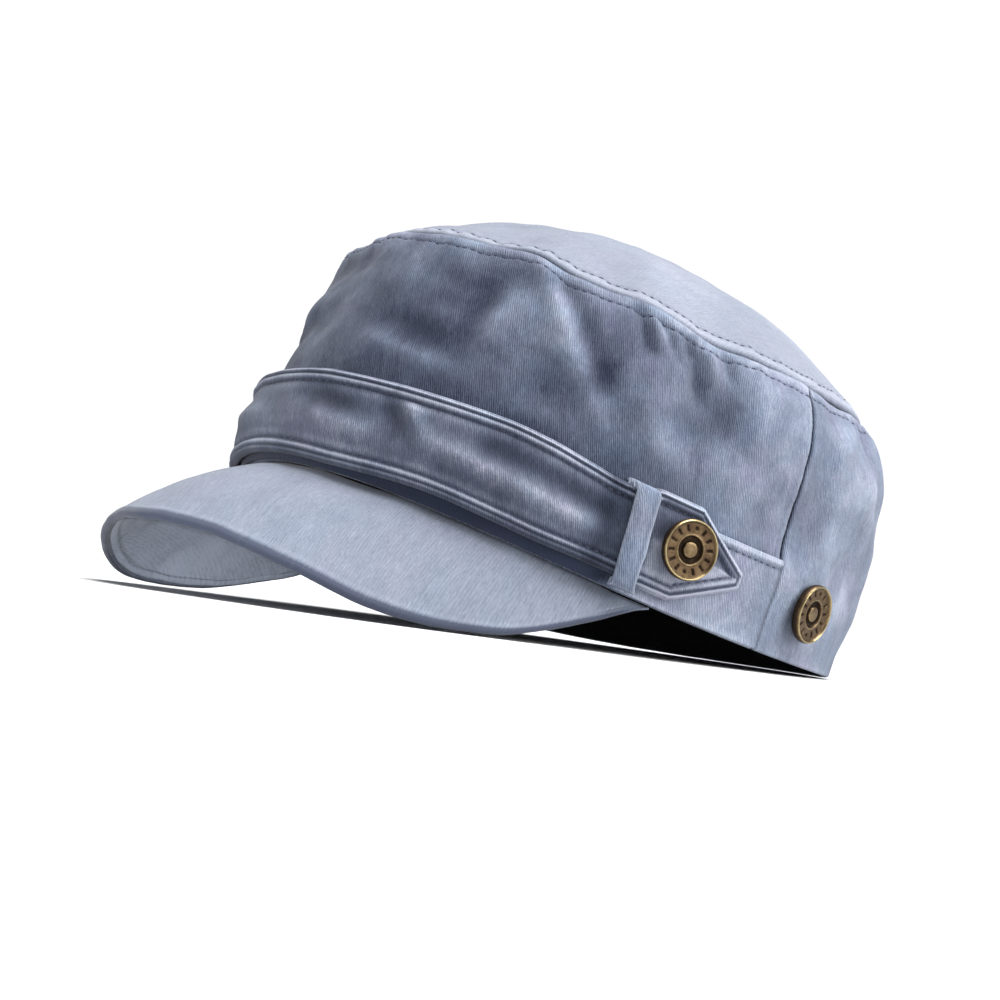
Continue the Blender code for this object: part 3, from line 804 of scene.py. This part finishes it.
def antique_brass(name):
    """Cast brass with dark patina in its hollows and polished high edges."""
    n = Nodes(name)
    place = n.add("ShaderNodeNewGeometry").outputs["Position"]
    spots = n.noise(place, 900.0, 4.0, 0.65)
    blotches = n.noise(place, 260.0, 3.0, 0.6)
    value = n.plus(n.wear_and_painted_light(), n.times(n.minus(spots, 0.5), 0.55))
    value = n.plus(value, n.times(n.minus(blotches, 0.5), 0.5))
    n.put(n.shader.inputs["Base Color"], n.ramp(value, BRASS_SHADES))
    n.shader.inputs["Metallic"].default_value = 0.95
    rough = n.add("ShaderNodeMapRange", Value=value, From_Min=0.0, From_Max=1.0, To_Min=0.62, To_Max=0.27)
    n.put(n.shader.inputs["Roughness"], rough.outputs["Result"])
    n.bump(spots, 0.00008, 0.5)
    return n.material


CROWN_SHADES = (
    (0.02, (0.022, 0.028, 0.052)),
    (0.35, (0.090, 0.107, 0.156)),
    (0.62, (0.188, 0.214, 0.284)),
    (1.00, (0.470, 0.505, 0.600)),
)
TOP_SHADES = (
    (0.02, (0.085, 0.097, 0.130)),
    (0.35, (0.165, 0.182, 0.228)),
    (0.62, (0.240, 0.260, 0.315)),
    (1.00, (0.440, 0.460, 0.520)),
)
STRAP_SHADES = (
    (0.02, (0.016, 0.019, 0.034)),
    (0.38, (0.048, 0.057, 0.088)),
    (0.66, (0.108, 0.122, 0.168)),
    (1.00, (0.330, 0.352, 0.425)),
)
# Its lightest stop is reached mostly under the peak, where painted light is added.
PEAK_SHADES = (
    (0.02, (0.050, 0.059, 0.090)),
    (0.35, (0.110, 0.126, 0.168)),
    (0.62, (0.186, 0.208, 0.258)),
    (1.00, (0.440, 0.485, 0.590)),
)

crown_denim = denim("crown_denim", CROWN_SHADES, 20.0, 0.00062, 0.095, 0.37)
top_denim = denim("top_denim", TOP_SHADES, 20.0, 0.00062, 0.05, 0.14, tinted=0.3)
strap_denim = denim("strap_denim", STRAP_SHADES, 20.0, 0.00062, 0.08, 0.34, 0.36)
peak_denim = denim("peak_denim", PEAK_SHADES, 32.0, 0.00085, 0.035, 0.14, tinted=0.3, rough=0.4)
navy_thread = thread("navy_thread", (0.030, 0.036, 0.075))
sweatband_cloth = band_cloth("sweatband_cloth")
brass = antique_brass("antique_brass")


# Crown

def wall_shares(turn):
    """Rows of the wall by its real length, closer together along the top seam: the shares of
    the wall, and the distances to the seam's line."""
    fine = np.linspace(0.0, 1.0, 160)
    curve = wall_points(turn[:, None], fine[None, :] + np.zeros((len(turn), 1)))
    rows = []
    for line in lengths_along(curve, 1):
        end = line[-1] - SEAM_END
        low = np.linspace(CLOTH / 2, end - NEAR_SEAM, WALL_ROWS)[:-1]
        wanted = np.concatenate([low, np.linspace(end - NEAR_SEAM, end, WALL_SEAM_ROWS)])
        rows.append((np.interp(wanted, line, fine), line[-1] - wanted))
    shares, distances = zip(*rows)
    return np.array(shares), np.array(distances)


def fade_and_painted_light(turn, share, height):
    """How the wall's colour changes round it: darker in front and on the far side of the front, as
    painted shade; paler behind, as painted light; a painted shadow just over the strap; a little
    darker low down behind, and lighter at the near corner of the top.
    """
    around = np.abs(wrapped(turn))
    behind = ease((around - 92.0) / 15.0)
    foot_behind = bell((height - 12.0) / 14.0) * ease((around - SIDE_SEAM) / 8.0)
    front = ease((100.0 - around) / 45.0) * (1.0 - 0.45 * ease((share - 0.74) / 0.2))
    corner = bell((turn - 46.0) / 10.0) * ease((share - 0.45) / 0.3)
    far_front = ease((-turn - 5.0) / 25.0) * (around < 90.0)
    # A painted shadow just over the strap
    shadow_over_strap = bell((height - 33.0) / 4.0) * ease((LOOP_TURN - around) / 6.0)
    return (0.22 * behind - 0.12 * foot_behind - 0.86 * front + 0.80 * corner - 0.50 * far_front
            - 0.35 * shadow_over_strap)


def crown_wall(name, start, end, columns):
    """One panel of the wall, with a closer grid along its side seams."""
    steps = np.linspace(0.0, 1.0, columns)
    steps = steps - 0.25 * np.sin(2 * math.pi * steps) / math.pi
    edge_gap = SIDE_END / MM_PER_DEGREE
    turn = start + edge_gap + (end - start - 2 * edge_gap) * steps
    shares, distance = wall_shares(turn)
    turns = turn[:, None] + 0 * shares
    plain = wall_points(turns, shares)
    height = plain[..., 2] - rim_points(turns)[..., 2]
    relief = wall_relief(turns, shares, plain)
    from_side = np.minimum(turns - start, end - turns) * MM_PER_DEGREE
    seams = seam_relief(distance, turns) + side_seam_relief(from_side, height) * ease(distance / 4.0)
    points = plain + wall_normals(turns, shares) * (relief + seams)[..., None]
    # Colour: lighter on the folds' ridges and darker in their valleys, partly fade and partly painted
    # light and shade; the painted shade and light round the wall; wear along the seams and at the hem.
    wear_and_painted_light = (0.30 - 0.20 * ease((np.abs(wrapped(turns)) - 100.0) / 20.0)) * relief
    wear_and_painted_light += fade_and_painted_light(turns, shares, height) + profile(distance, SEAM_WEAR)
    wear_and_painted_light += profile(from_side, SIDE_WEAR) + 0.6 * bell(height / 1.2)
    shell(f"{name}_cloth", points, CLOTH, crown_denim, wear_and_painted_light, (name,))
    return points, distance


def crown_top_panel(columns):
    turn = np.linspace(0.0, 360.0, columns + 1)[:-1, None]
    reach = TOP_WIDTH / 2
    near = 1.0 - (SEAM_END + np.linspace(0.0, NEAR_SEAM, 19)) / reach
    far = np.linspace(near[-1], 0.010, 52)[1:]
    shares = np.concatenate([near, far])[None, :] + 0 * turn
    turns = turn + 0 * shares
    plain = top_points(turns, shares)
    distance = (1.0 - shares) * reach
    inside = ease(distance / 25.0)
    soft = ripples(plain, *TOP_SOFT) * (0.3 + 0.7 * inside) * ease((shares + 0.1) / 0.5)
    relief = (soft + ripples(plain, *TOP_SMALL)) * ease(distance / SEAM_FADE)
    points = plain + grid_normals(plain, True) * (relief + seam_relief(distance, turns))[..., None]
    # Colour: lighter on the ripples' ridges and darker in their hollows, partly fade and partly painted
    # light and shade; wear along the seam.
    wear_and_painted_light = 0.25 * relief + profile(distance, SEAM_WEAR)
    dome("crown_top_cloth", points, CLOTH, top_denim, wear_and_painted_light, ("crown_top",))
    return points, distance


# Stitches

def at_distance(points, distance, wanted):
    """The line over a grid where its rows reach this distance, and its outward directions."""
    normals = grid_normals(points)
    line = []
    out = []
    for column, far, normal in zip(points, distance, normals):
        order = np.argsort(far)
        line.append([np.interp(wanted, far[order], column[order, k]) for k in range(3)])
        out.append([np.interp(wanted, far[order], normal[order, k]) for k in range(3)])
    return np.array(line), unit(np.array(out))


def stitches(name, line, out, seed):
    """A row of sewn stitches along a line: each a short thread that dips in at both ends."""
    run = lengths_along(line[None], 1)[0]
    rng = np.random.default_rng(seed)
    sides = 6
    rings = 7
    share = np.linspace(0.0, 1.0, rings)
    arch = STITCH_LIFT + STITCH_ARCH * (np.sin(math.pi * share) - 1.0)
    radius = THREAD_RADIUS * np.sqrt(np.clip(1.0 - (2 * share - 1.0) ** 4, 0.06, 1.0))
    angles = 2 * math.pi * np.arange(sides) / sides
    points = []
    faces = []
    for start in np.arange(STITCH_PITCH / 2, run[-1] - STITCH_PITCH, STITCH_PITCH):
        start = start + rng.uniform(-0.12, 0.12)
        spots = start + STITCH_LENGTH * rng.uniform(0.90, 1.08) * share
        path = np.stack([np.interp(spots, run, line[:, k]) for k in range(3)], axis=1)
        up = unit(np.stack([np.interp(spots, run, out[:, k]) for k in range(3)], axis=1))
        path = path + up * arch[:, None]
        side = unit(np.cross(unit(np.gradient(path, axis=0)), up))
        base = len(points) * rings * sides
        ring = [path + (side * math.cos(a) + up * math.sin(a)) * radius[:, None] for a in angles]
        points.append(np.stack(ring, axis=1))
        for low in range(base, base + (rings - 1) * sides, sides):
            for k in range(sides):
                m = (k + 1) % sides
                faces.append((low + k, low + m, low + sides + m, low + sides + k))
        faces.append(tuple(base + k for k in reversed(range(sides))))
        faces.append(tuple(base + (rings - 1) * sides + k for k in range(sides)))
    new_piece(name, np.array(points), faces, navy_thread)


front_wall, front_far = crown_wall("crown_front", -SIDE_SEAM, SIDE_SEAM, 260)
back_wall, back_far = crown_wall("crown_back", SIDE_SEAM, 360.0 - SIDE_SEAM, 200)
top_grid, top_far = crown_top_panel(420)

line, out = at_distance(front_wall, front_far, TOP_STITCH)
stitches("top_stitches_front", line, out, 11)
line, out = at_distance(back_wall, back_far, TOP_STITCH)
stitches("top_stitches_back", line, out, 12)
line, out = at_distance(top_grid, top_far, TOP_STITCH)
stitches("top_stitches_panel", np.vstack([line, line[:1]]), np.vstack([out, out[:1]]), 13)


# Bands

def lower_band():
    reach = SIDE_SEAM - GAP / MM_PER_DEGREE
    turn = np.linspace(-reach, reach, 260)[:, None]
    height = np.linspace(BAND_HEM, BAND_HEIGHT, 34)[None, :]
    from_top = BAND_HEIGHT - height + 0 * turn
    points = on_wall(turn, height, GAP + BAND_CLOTH + profile(from_top, BAND_RELIEF))
    points += grid_normals(points) * ripples(points, *BAND_WAVES)[..., None]
    # Painted shade: the band is made darker under the strap, as its shadow; it is lighter at the hem and
    # darker at its ends.
    under_strap = ease((12.5 - height) / 5.0) * ease((LOOP_TURN + 2.0 - np.abs(turn)) / 8.0)
    wear_and_painted_light = 0.35 + profile(from_top, BAND_WEAR) - UNDER_STRAP_SHADE * under_strap
    wear_and_painted_light += 0.5 * bell(height - BAND_HEM) - 1.2 * bell((reach - np.abs(turn)) / 0.5)
    shell("lower_band_cloth", points, BAND_CLOTH, crown_denim, wear_and_painted_light, ("lower_band",))
    line, out = at_distance(points, from_top, BAND_STITCH)
    stitches("lower_band_stitches", line, out, 14)


def sweatband():
    turn = np.linspace(0.0, 360.0, 241)[:-1, None]
    share = share_at(turn, np.linspace(BAND_HEM, SWEATBAND_HEIGHT, 22)[None, :])
    turn = turn + 0 * share
    plain = wall_points(turn, share)
    offset = wall_relief(turn, share, plain) - CLOTH - GAP
    points = plain + wall_normals(turn, share) * offset[..., None]
    points += grid_normals(points, True) * ripples(points, *SWEATBAND_WAVES)[..., None]
    shell("sweatband_cloth", points, SWEATBAND_CLOTH, sweatband_cloth, 0 * share,
          ("sweatband",), closed=True)


# Strap

def strap_edges(turn):
    """The heights of the strap's lower and upper edge: it narrows to a point at each end."""
    front = ease((LOOP_TURN - np.abs(turn)) / LOOP_TURN)
    plain_bottom = STRAP_BOTTOM + STRAP_FRONT_LIFT * front
    cinched = window(np.abs(turn), *CINCH_SPAN)
    bottom = plain_bottom + STRAP_CINCH_BOTTOM * cinched - STRAP_SAG * window(turn, *SAG_SPAN)
    top = plain_bottom + STRAP_HEIGHT - STRAP_FRONT_NARROWING * front - STRAP_CINCH_TOP * cinched
    top = top - STRAP_SLIP * window(turn, *SLIP_SPAN) + STRAP_SWELL * window(turn, *SWELL_SPAN)
    tip = STRAP_BOTTOM + STRAP_HEIGHT * TAB_TIP_LEVEL
    to_tip = TAB_TIP - np.abs(turn)
    rise = np.clip(to_tip / TAB_TAPER_TOP, 0.0, 1.0)
    fall = np.clip(to_tip / TAB_TAPER_BOTTOM, 0.0, 1.0)
    upper = tip + TAB_TIP_ROUND / 2 + (top - tip - TAB_TIP_ROUND / 2) * rise
    lower = tip - TAB_TIP_ROUND / 2 - (tip - TAB_TIP_ROUND / 2 - bottom) * fall
    return lower, upper


def edge_slopes(turn):
    """How much nearer the upper and lower edges are than straight up and down, at the tabs."""
    to_tip = TAB_TIP - np.abs(turn)
    slopes = []
    for share, taper in ((1.0 - TAB_TIP_LEVEL, TAB_TAPER_TOP), (TAB_TIP_LEVEL, TAB_TAPER_BOTTOM)):
        slope = math.cos(math.atan2(STRAP_HEIGHT * share, taper * MM_PER_DEGREE))
        slopes.append(np.where(to_tip < taper, slope, 1.0))
    return slopes


def beside_loop(turn):
    """Where the loop presses the strap in beside it, and where the strap is painted darker as the
    loop's shadow.
    """
    return bell((np.abs(turn) - LOOP_TURN + 5.0) / 2.4)


def strap_lean(turn, level):
    """How far the strap leans out at this share of its height."""
    front = ease((LOOP_TURN - np.abs(turn)) / LOOP_TURN)
    return STRAP_LEAN * front * (0.1 + 0.9 * ease((turn + 45.0) / 50.0)) * level


def strap():
    turn = np.linspace(-TAB_TIP, TAB_TIP, 440)[:, None]
    level = np.linspace(0.0, 1.0, 56)[None, :] + 0 * turn
    level = level - 0.75 * np.sin(2 * math.pi * level) / (2 * math.pi)
    lower, upper = strap_edges(turn)
    height = lower + (upper - lower) * level
    slope_top, slope_low = edge_slopes(turn)
    near_low = (height - lower) * slope_low
    near_tip = (TAB_TIP - np.abs(turn)) * MM_PER_DEGREE
    edge = np.minimum(np.minimum((upper - height) * slope_top, near_low), near_tip)
    held = ease((LOOP_TURN - 2.0 - np.abs(turn)) / 6.0) * ease((edge - 2.6) / 3.0)
    folds = STRAP_FOLD_STRENGTH * along_lines(STRAP_FOLDS, turn, level, STRAP_HEIGHT - 4.0) * held
    puffed = 0.55 * ease((edge - STRAP_STITCH) / 4.0)
    on_tab = ease((np.abs(turn) - LOOP_TURN - 2.5) / 1.5)
    crease = on_tab * bell((level - 0.50) / 0.05) * ease((edge - 2.0) / 2.0)
    # Pressed in beside the loops, and painted darker there as the loop's shadow
    pressed_and_shaded = beside_loop(turn)
    seat = GAP + BAND_CLOTH + GAP + STRAP_CLOTH + STRAP_RELIEF
    lean = strap_lean(turn, level)
    relief = profile(edge, STRAP_EDGE_RELIEF) + puffed + folds + 0.45 * crease - LOOP_PRESS * pressed_and_shaded
    relief += ripples(on_wall(turn, height, seat + lean), *STRAP_WAVES)
    points = on_wall(turn, height, seat + lean + relief)
    # Colour: wear along the edges; lighter on the folds' ridges and darker in their valleys, partly fade
    # and partly painted light and shade; painted shade on the far side of the front; a painted shadow
    # beside each loop.
    wear_and_painted_light = profile(edge, STRAP_EDGE_WEAR) + on_tab * profile(edge, TAB_EDGE_WEAR)
    wear_and_painted_light += 0.36 * folds - 0.3 * ease((5.0 - turn) / 25.0) - pressed_and_shaded + 0.3 * crease
    # Painted shade along the strap's rounded lower edge, except on the tabs.
    wear_and_painted_light -= 0.9 * bell(near_low / 0.9) * (1.0 - on_tab)
    # On the tabs: lighter below the crease and darker above it.
    wear_and_painted_light += on_tab * ease((edge - 1.2) / 1.2) * (0.75 - 1.2 * ease((level - 0.48) / 0.06))
    normals = wall_normals(turn + 0 * height, share_at(turn, height))
    shell("strap_cloth", points, STRAP_CLOTH, strap_denim, wear_and_painted_light, ("strap",),
          normals=normals)
    runs = np.linspace(2.0 - TAB_TIP, TAB_TIP - 2.0, 420)
    low, high = strap_edges(runs)
    middle = (low + high) / 2
    slope_top, slope_low = edge_slopes(runs)
    rows = {"upper": np.maximum(high - STRAP_STITCH / slope_top, middle),
            "lower": np.minimum(low + STRAP_STITCH / slope_low, middle)}
    for word, heights in rows.items():
        offset = seat + strap_lean(runs, (heights - low) / (high - low)) - STRAP_STITCH_DEPTH
        path = on_wall(runs, heights, offset - LOOP_PRESS * beside_loop(runs))
        out = wall_normals(runs, share_at(runs, heights))
        stitches(f"strap_stitches_{word}", path, out, 15)


def through(values, count):
    """A smooth curve through a few values, as many evenly spaced ones."""
    values = np.array(values, dtype=float)
    last = len(values) - 1
    where = np.linspace(0.0, last, count)
    i = np.clip(where.astype(int), 0, last - 1)
    t = (where - i)[:, None]
    a, b = values[np.maximum(i - 1, 0)], values[i]
    c, d = values[i + 1], values[np.minimum(i + 2, last)]
    return 0.5 * (2 * b + (c - a) * t + (2 * a - 5 * b + 4 * c - d) * t**2
                  + (3 * b - a - 3 * c + d) * t**3)


def loop(name, side):
    """A folded cloth loop over the strap: it leaves the wall below it and meets it above. Its
    edges curl down and its lower end leans towards the back."""
    head = GAP + LOOP_CLOTH
    foot = head + BAND_CLOTH + GAP
    over = foot + STRAP_CLOTH + 2 * STRAP_RELIEF + GAP
    low = LOOP_LOW_HEIGHT
    high = LOOP_TOP_HEIGHT
    tall = high - low
    rows = 96
    path = through((
        (low - 0.6, foot + 0.2),
        (low - 0.4, (foot + over) / 2 - 0.2),
        (low + 0.2, over - 0.9),
        (low + 1.8, over - 0.1),
        (low + tall * 0.28, over + 0.7),
        (low + tall * 0.52, over + 0.9),
        (low + tall * 0.78, over + 0.6),
        (high - 1.5, over + 0.2),
        (high + 0.2, (head + over) / 2 + 0.6),
        (high + 0.8, head + 0.6),
        (high + 0.9, head - 0.8),
    ), rows)
    steps = np.linspace(-1.0, 1.0, 21)[:, None]
    down = 1.0 - np.linspace(0.0, 1.0, rows)[None, :]
    half = LOOP_HALF_TURN * (1.0 + 0.12 * ease((down - 0.7) / 0.3))
    turn = side * (LOOP_TOP_TURN + LOOP_LEAN * down) + steps * half
    across = np.abs(steps) + np.zeros((1, rows))
    curl = LOOP_SWELL - LOOP_CURL * across**4 + profile(across, LOOP_RELIEF)
    points = on_wall(turn, path[None, :, 0], path[None, :, 1] + curl)
    points += grid_normals(points) * ripples(points, *LOOP_WAVES)[..., None]
    wear_and_painted_light = 0.25 + profile(across, LOOP_WEAR) + profile(down, LOOP_BEND_WEAR)
    shell(f"{name}_cloth", points, LOOP_CLOTH, crown_denim, wear_and_painted_light, (name,))


# Peak

def smooth_rows(table, where):
    """Rows of a table at any place of its first column, by a smooth curve through the rows."""
    table = np.array(table)
    places = table[:, 0]
    i = np.clip(np.searchsorted(places, where, side="right") - 1, 0, len(places) - 2)
    before, after = np.maximum(i - 1, 0), np.minimum(i + 2, len(places) - 1)
    h = (places[i + 1] - places[i])[..., None]
    t = (where - places[i])[..., None] / h
    start, end = table[i, 1:], table[i + 1, 1:]
    slope_in = (end - table[before, 1:]) / (places[i + 1] - places[before])[..., None]
    level = (end - start) / h * np.array([1.0, 0.0, 0.0])
    slope_in = np.where((i == 0)[..., None], level, slope_in)
    slope_out = (table[after, 1:] - start) / (places[after] - places[i])[..., None]
    return ((2 * t**3 - 3 * t**2 + 1) * start + (t**3 - 2 * t**2 + t) * h * slope_in
            + (-2 * t**3 + 3 * t**2) * end + (t**3 - t**2) * h * slope_out)


def peak():
    turn = np.linspace(-1.0, 1.0, 300)
    edge_shape = smooth_rows(PEAK_EDGE, np.abs(turn))
    corner = rim_points(np.array(PEAK_CORNER))
    forward = RIM_FRONT + PEAK_LENGTH + corner[1]
    edge = joined(np.sign(turn) * edge_shape[:, 0] * corner[0],
                  corner[1] - edge_shape[:, 1] * forward,
                  corner[2] - GAP - edge_shape[:, 2] * PEAK_DROP)
    angle = turn * PEAK_CORNER
    rim = rim_points(angle)
    inward = -unit(rim * np.array([1.0, 1.0, 0.0])) * CLOTH
    lean = np.maximum(0.0, wall_normals(angle, np.zeros_like(angle))[:, 2])
    seam = rim + inward + joined(0.0, 0.0, -GAP - CLOTH * lean)
    reach = np.linalg.norm(edge - seam, axis=1)
    edge = edge - unit(edge - seam) * np.minimum(PEAK_EDGE_INSET, 0.3 * reach)[:, None]
    reach = np.linalg.norm(edge - seam, axis=1)
    turn = turn[:, None]
    share = 1.0 - np.linspace(0.0, 1.0, 52)[None, :] ** 1.35 + 0 * turn
    points = seam[:, None] + (edge - seam)[:, None] * share[..., None]
    points[..., 2] += PEAK_CAMBER * 4 * share * (1 - share) * (1 - np.abs(turn) ** 3)
    distance = (1.0 - share) * reach[:, None]
    relief = profile(distance, PEAK_EDGE_RELIEF)
    relief += ripples(points, *PEAK_SOFT) + ripples(points, *PEAK_SMALL)
    calm = ease(reach / 8.0)[:, None]
    points += grid_normals(points) * (relief * calm)[..., None]
    wear_and_painted_light = profile(distance, PEAK_EDGE_WEAR) * calm
    # Painted light: the underside is made paler than the top, standing in for light from below, with a
    # dark stitch line near the edge.
    under = PEAK_UNDER_PAINTED_LIGHT + wear_and_painted_light - 1.3 * bell((distance - PEAK_BINDING) / 0.4)
    thickness = PEAK_THICKNESS * (0.25 + 0.75 * ease((1.0 - np.abs(turn)) / 0.12))
    shell("peak_cloth", points, thickness, peak_denim, wear_and_painted_light, ("peak",), edge_rows=7,
          uv=points[..., :2] + np.array(PEAK_CLOTH_ORIGIN), underside_wear_and_light=under)


# Buttons

def button(name, turn, height, seat):
    """A cast metal button: raised rim, ring of bars and dots, deep groove and a middle disc."""
    rows = through(BUTTON_PROFILE, 130)[1:]
    sides = 200
    a = np.linspace(0.0, 2 * math.pi, sides, endpoint=False)[:, None]
    radius = rows[None, :, 0] * BUTTON_RADIUS + 0 * a
    face = (rows[:, 1] > 0.45)[None, :]
    in_ring = ease((radius - 5.35) / 0.3) * ease((7.65 - radius) / 0.3) * face
    place = a * BUTTON_MARKS / (2 * math.pi)
    arc = (place % 1.0 - 0.5) * 2 * math.pi / BUTTON_MARKS * radius
    bar = ease((0.55 - np.abs(arc)) / 0.25) * in_ring
    dot = ease((0.75 - np.hypot(arc, radius - 6.5)) / 0.3) * face
    mark = np.where(np.floor(place).astype(int) % 7 == 3, dot, bar)
    level = rows[None, :, 1] * BUTTON_HEIGHT + BUTTON_LIFT - BUTTON_MARK_DEPTH * mark
    shade = rows[None, :, 2] - 0.42 * mark
    points = np.stack([radius * np.cos(a), radius * np.sin(a), level], axis=-1)
    count = points.shape[1]
    faces = []
    for i in range(sides):
        low = i * count
        high = ((i + 1) % sides) * count
        faces += [(low + j, low + j + 1, high + j + 1, high + j) for j in range(count - 1)]
    faces.append(tuple(i * count for i in range(sides)))
    faces.append(tuple(i * count + count - 1 for i in reversed(range(sides))))
    turn, height = np.array(turn), np.array(height)
    out = Vector(wall_normals(turn, share_at(turn, height)))
    spin = np.array(out.to_track_quat("Z", "Y").to_matrix())
    points = points.reshape(-1, 3) @ spin.T + on_wall(turn, height, seat + GAP)
    new_piece(f"{name}_metal", points, faces, brass, (name,), wear_and_painted_light=shade)


lower_band()
sweatband()
strap()
peak()
for side, word in ((1, "left"), (-1, "right")):
    loop(f"strap_loop_{word}", side)
    button(f"tab_button_{word}", side * TAB_BUTTON[0], TAB_BUTTON[1], TAB_BUTTON_SEAT)
    button(f"back_button_{word}", side * BACK_BUTTON[0], BACK_BUTTON[1], 0.0)


# Stage, lights and camera

def add_camera():
    """The camera at the photograph's angle, with the cap where the photograph has it."""
    azimuth = math.radians(CAMERA_AZIMUTH)
    elevation = math.radians(CAMERA_ELEVATION)
    roll = math.radians(CAMERA_ROLL)
    flat = math.cos(elevation)
    away = Vector((math.sin(azimuth) * flat, -math.cos(azimuth) * flat, math.sin(elevation)))
    target = Vector((0.0, 0.0, CAMERA_TARGET_HEIGHT))
    eye = target + away * CAMERA_DISTANCE

    def axes(look):
        look = look.normalized()
        right = look.cross(Vector((0.0, 0.0, 1.0))).normalized()
        up = right.cross(look)
        return (look, right * math.cos(roll) + up * math.sin(roll),
                up * math.cos(roll) - right * math.sin(roll))

    look, right, up = axes(-away)
    per_pixel = CAMERA_DISTANCE / CAMERA_FOCAL_PIXELS
    aim = target - right * (CAMERA_TARGET_PIXEL[0] - IMAGE_PIXELS / 2) * per_pixel
    aim += up * (CAMERA_TARGET_PIXEL[1] - IMAGE_PIXELS / 2) * per_pixel
    look, right, up = axes(aim - eye)
    turn = Matrix((right, up, -look)).transposed().to_4x4()
    camera = bpy.data.objects.new("camera", bpy.data.cameras.new("camera"))
    bpy.context.scene.collection.objects.link(camera)
    camera.matrix_world = CAP @ Matrix.Translation(eye * MM) @ turn
    camera.data.sensor_width = SENSOR_MM
    camera.data.lens = CAMERA_FOCAL_PIXELS * SENSOR_MM / IMAGE_PIXELS
    camera.data.clip_start = 0.01
    camera.data.clip_end = 50.0
    bpy.context.scene.camera = camera


def add_light(data, energy, towards, place=(0.0, 0.0, 0.0)):
    data.energy = energy
    light = bpy.data.objects.new(data.name, data)
    light.location = place
    light.rotation_mode = "QUATERNION"
    light.rotation_quaternion = towards
    bpy.context.scene.collection.objects.link(light)


def narrow_light(name, place, aim, power, angle):
    """A soft narrow light from beside the camera onto one place."""
    data = bpy.data.lights.new(name, "SPOT")
    data.spot_size = math.radians(angle)
    data.spot_blend = 1.0
    data.shadow_soft_size = 0.03
    add_light(data, power, (Vector(aim) - Vector(place)).to_track_quat("-Z", "Y"), place)


def far_light(name, towards, strength, angle):
    """A soft light from far away, the same over the whole floor."""
    data = bpy.data.lights.new(name, "SUN")
    data.angle = math.radians(angle)
    add_light(data, strength, Vector(towards).to_track_quat("Z", "Y"))


def add_stage():
    corners = [(x * FLOOR_HALF, y * FLOOR_HALF, 0.0) for x, y in ((-1, -1), (1, -1), (1, 1), (-1, 1))]
    mesh = bpy.data.meshes.new("floor")
    mesh.from_pydata(corners, [], [(0, 1, 2, 3)])
    n = Nodes("floor_white")
    n.shader.inputs["Base Color"].default_value = (0.62, 0.62, 0.62, 1.0)
    n.shader.inputs["Roughness"].default_value = 0.9
    n.shader.inputs["Specular IOR Level"].default_value = 0.0
    mesh.materials.append(n.material)
    floor = bpy.data.objects.new("floor", mesh)
    bpy.context.scene.collection.objects.link(floor)
    world = bpy.data.worlds.new("studio")
    world.use_nodes = True
    tree = world.node_tree
    place = tree.nodes.new("ShaderNodeTexCoord")
    split = tree.nodes.new("ShaderNodeSeparateXYZ")
    ramp = tree.nodes.new("ShaderNodeValToRGB")
    tree.links.new(place.outputs["Generated"], split.inputs[0])
    tree.links.new(split.outputs["Z"], ramp.inputs["Fac"])
    tree.links.new(ramp.outputs["Color"], tree.nodes["Background"].inputs["Color"])
    low_sky, high_sky = ramp.color_ramp.elements
    low_sky.position, high_sky.position = 0.22, 0.45
    low_sky.color = (1.0, 1.0, 1.0, 1.0)
    high_sky.color = (0.20, 0.21, 0.23, 1.0)
    tree.nodes["Background"].inputs["Strength"].default_value = 1.02
    bpy.context.scene.world = world
    bpy.context.scene.view_settings.view_transform = "Standard"
    far_light("key", (0.15, 0.12, 1.0), 5.6, 45.0)
    far_light("side", (0.85, 0.55, 0.45), 2.4, 40.0)
    narrow_light("under_peak", (1.02, -0.82, 0.008), (-0.060, -0.085, 0.014), 74.0, 6.5)


add_camera()
add_stage()
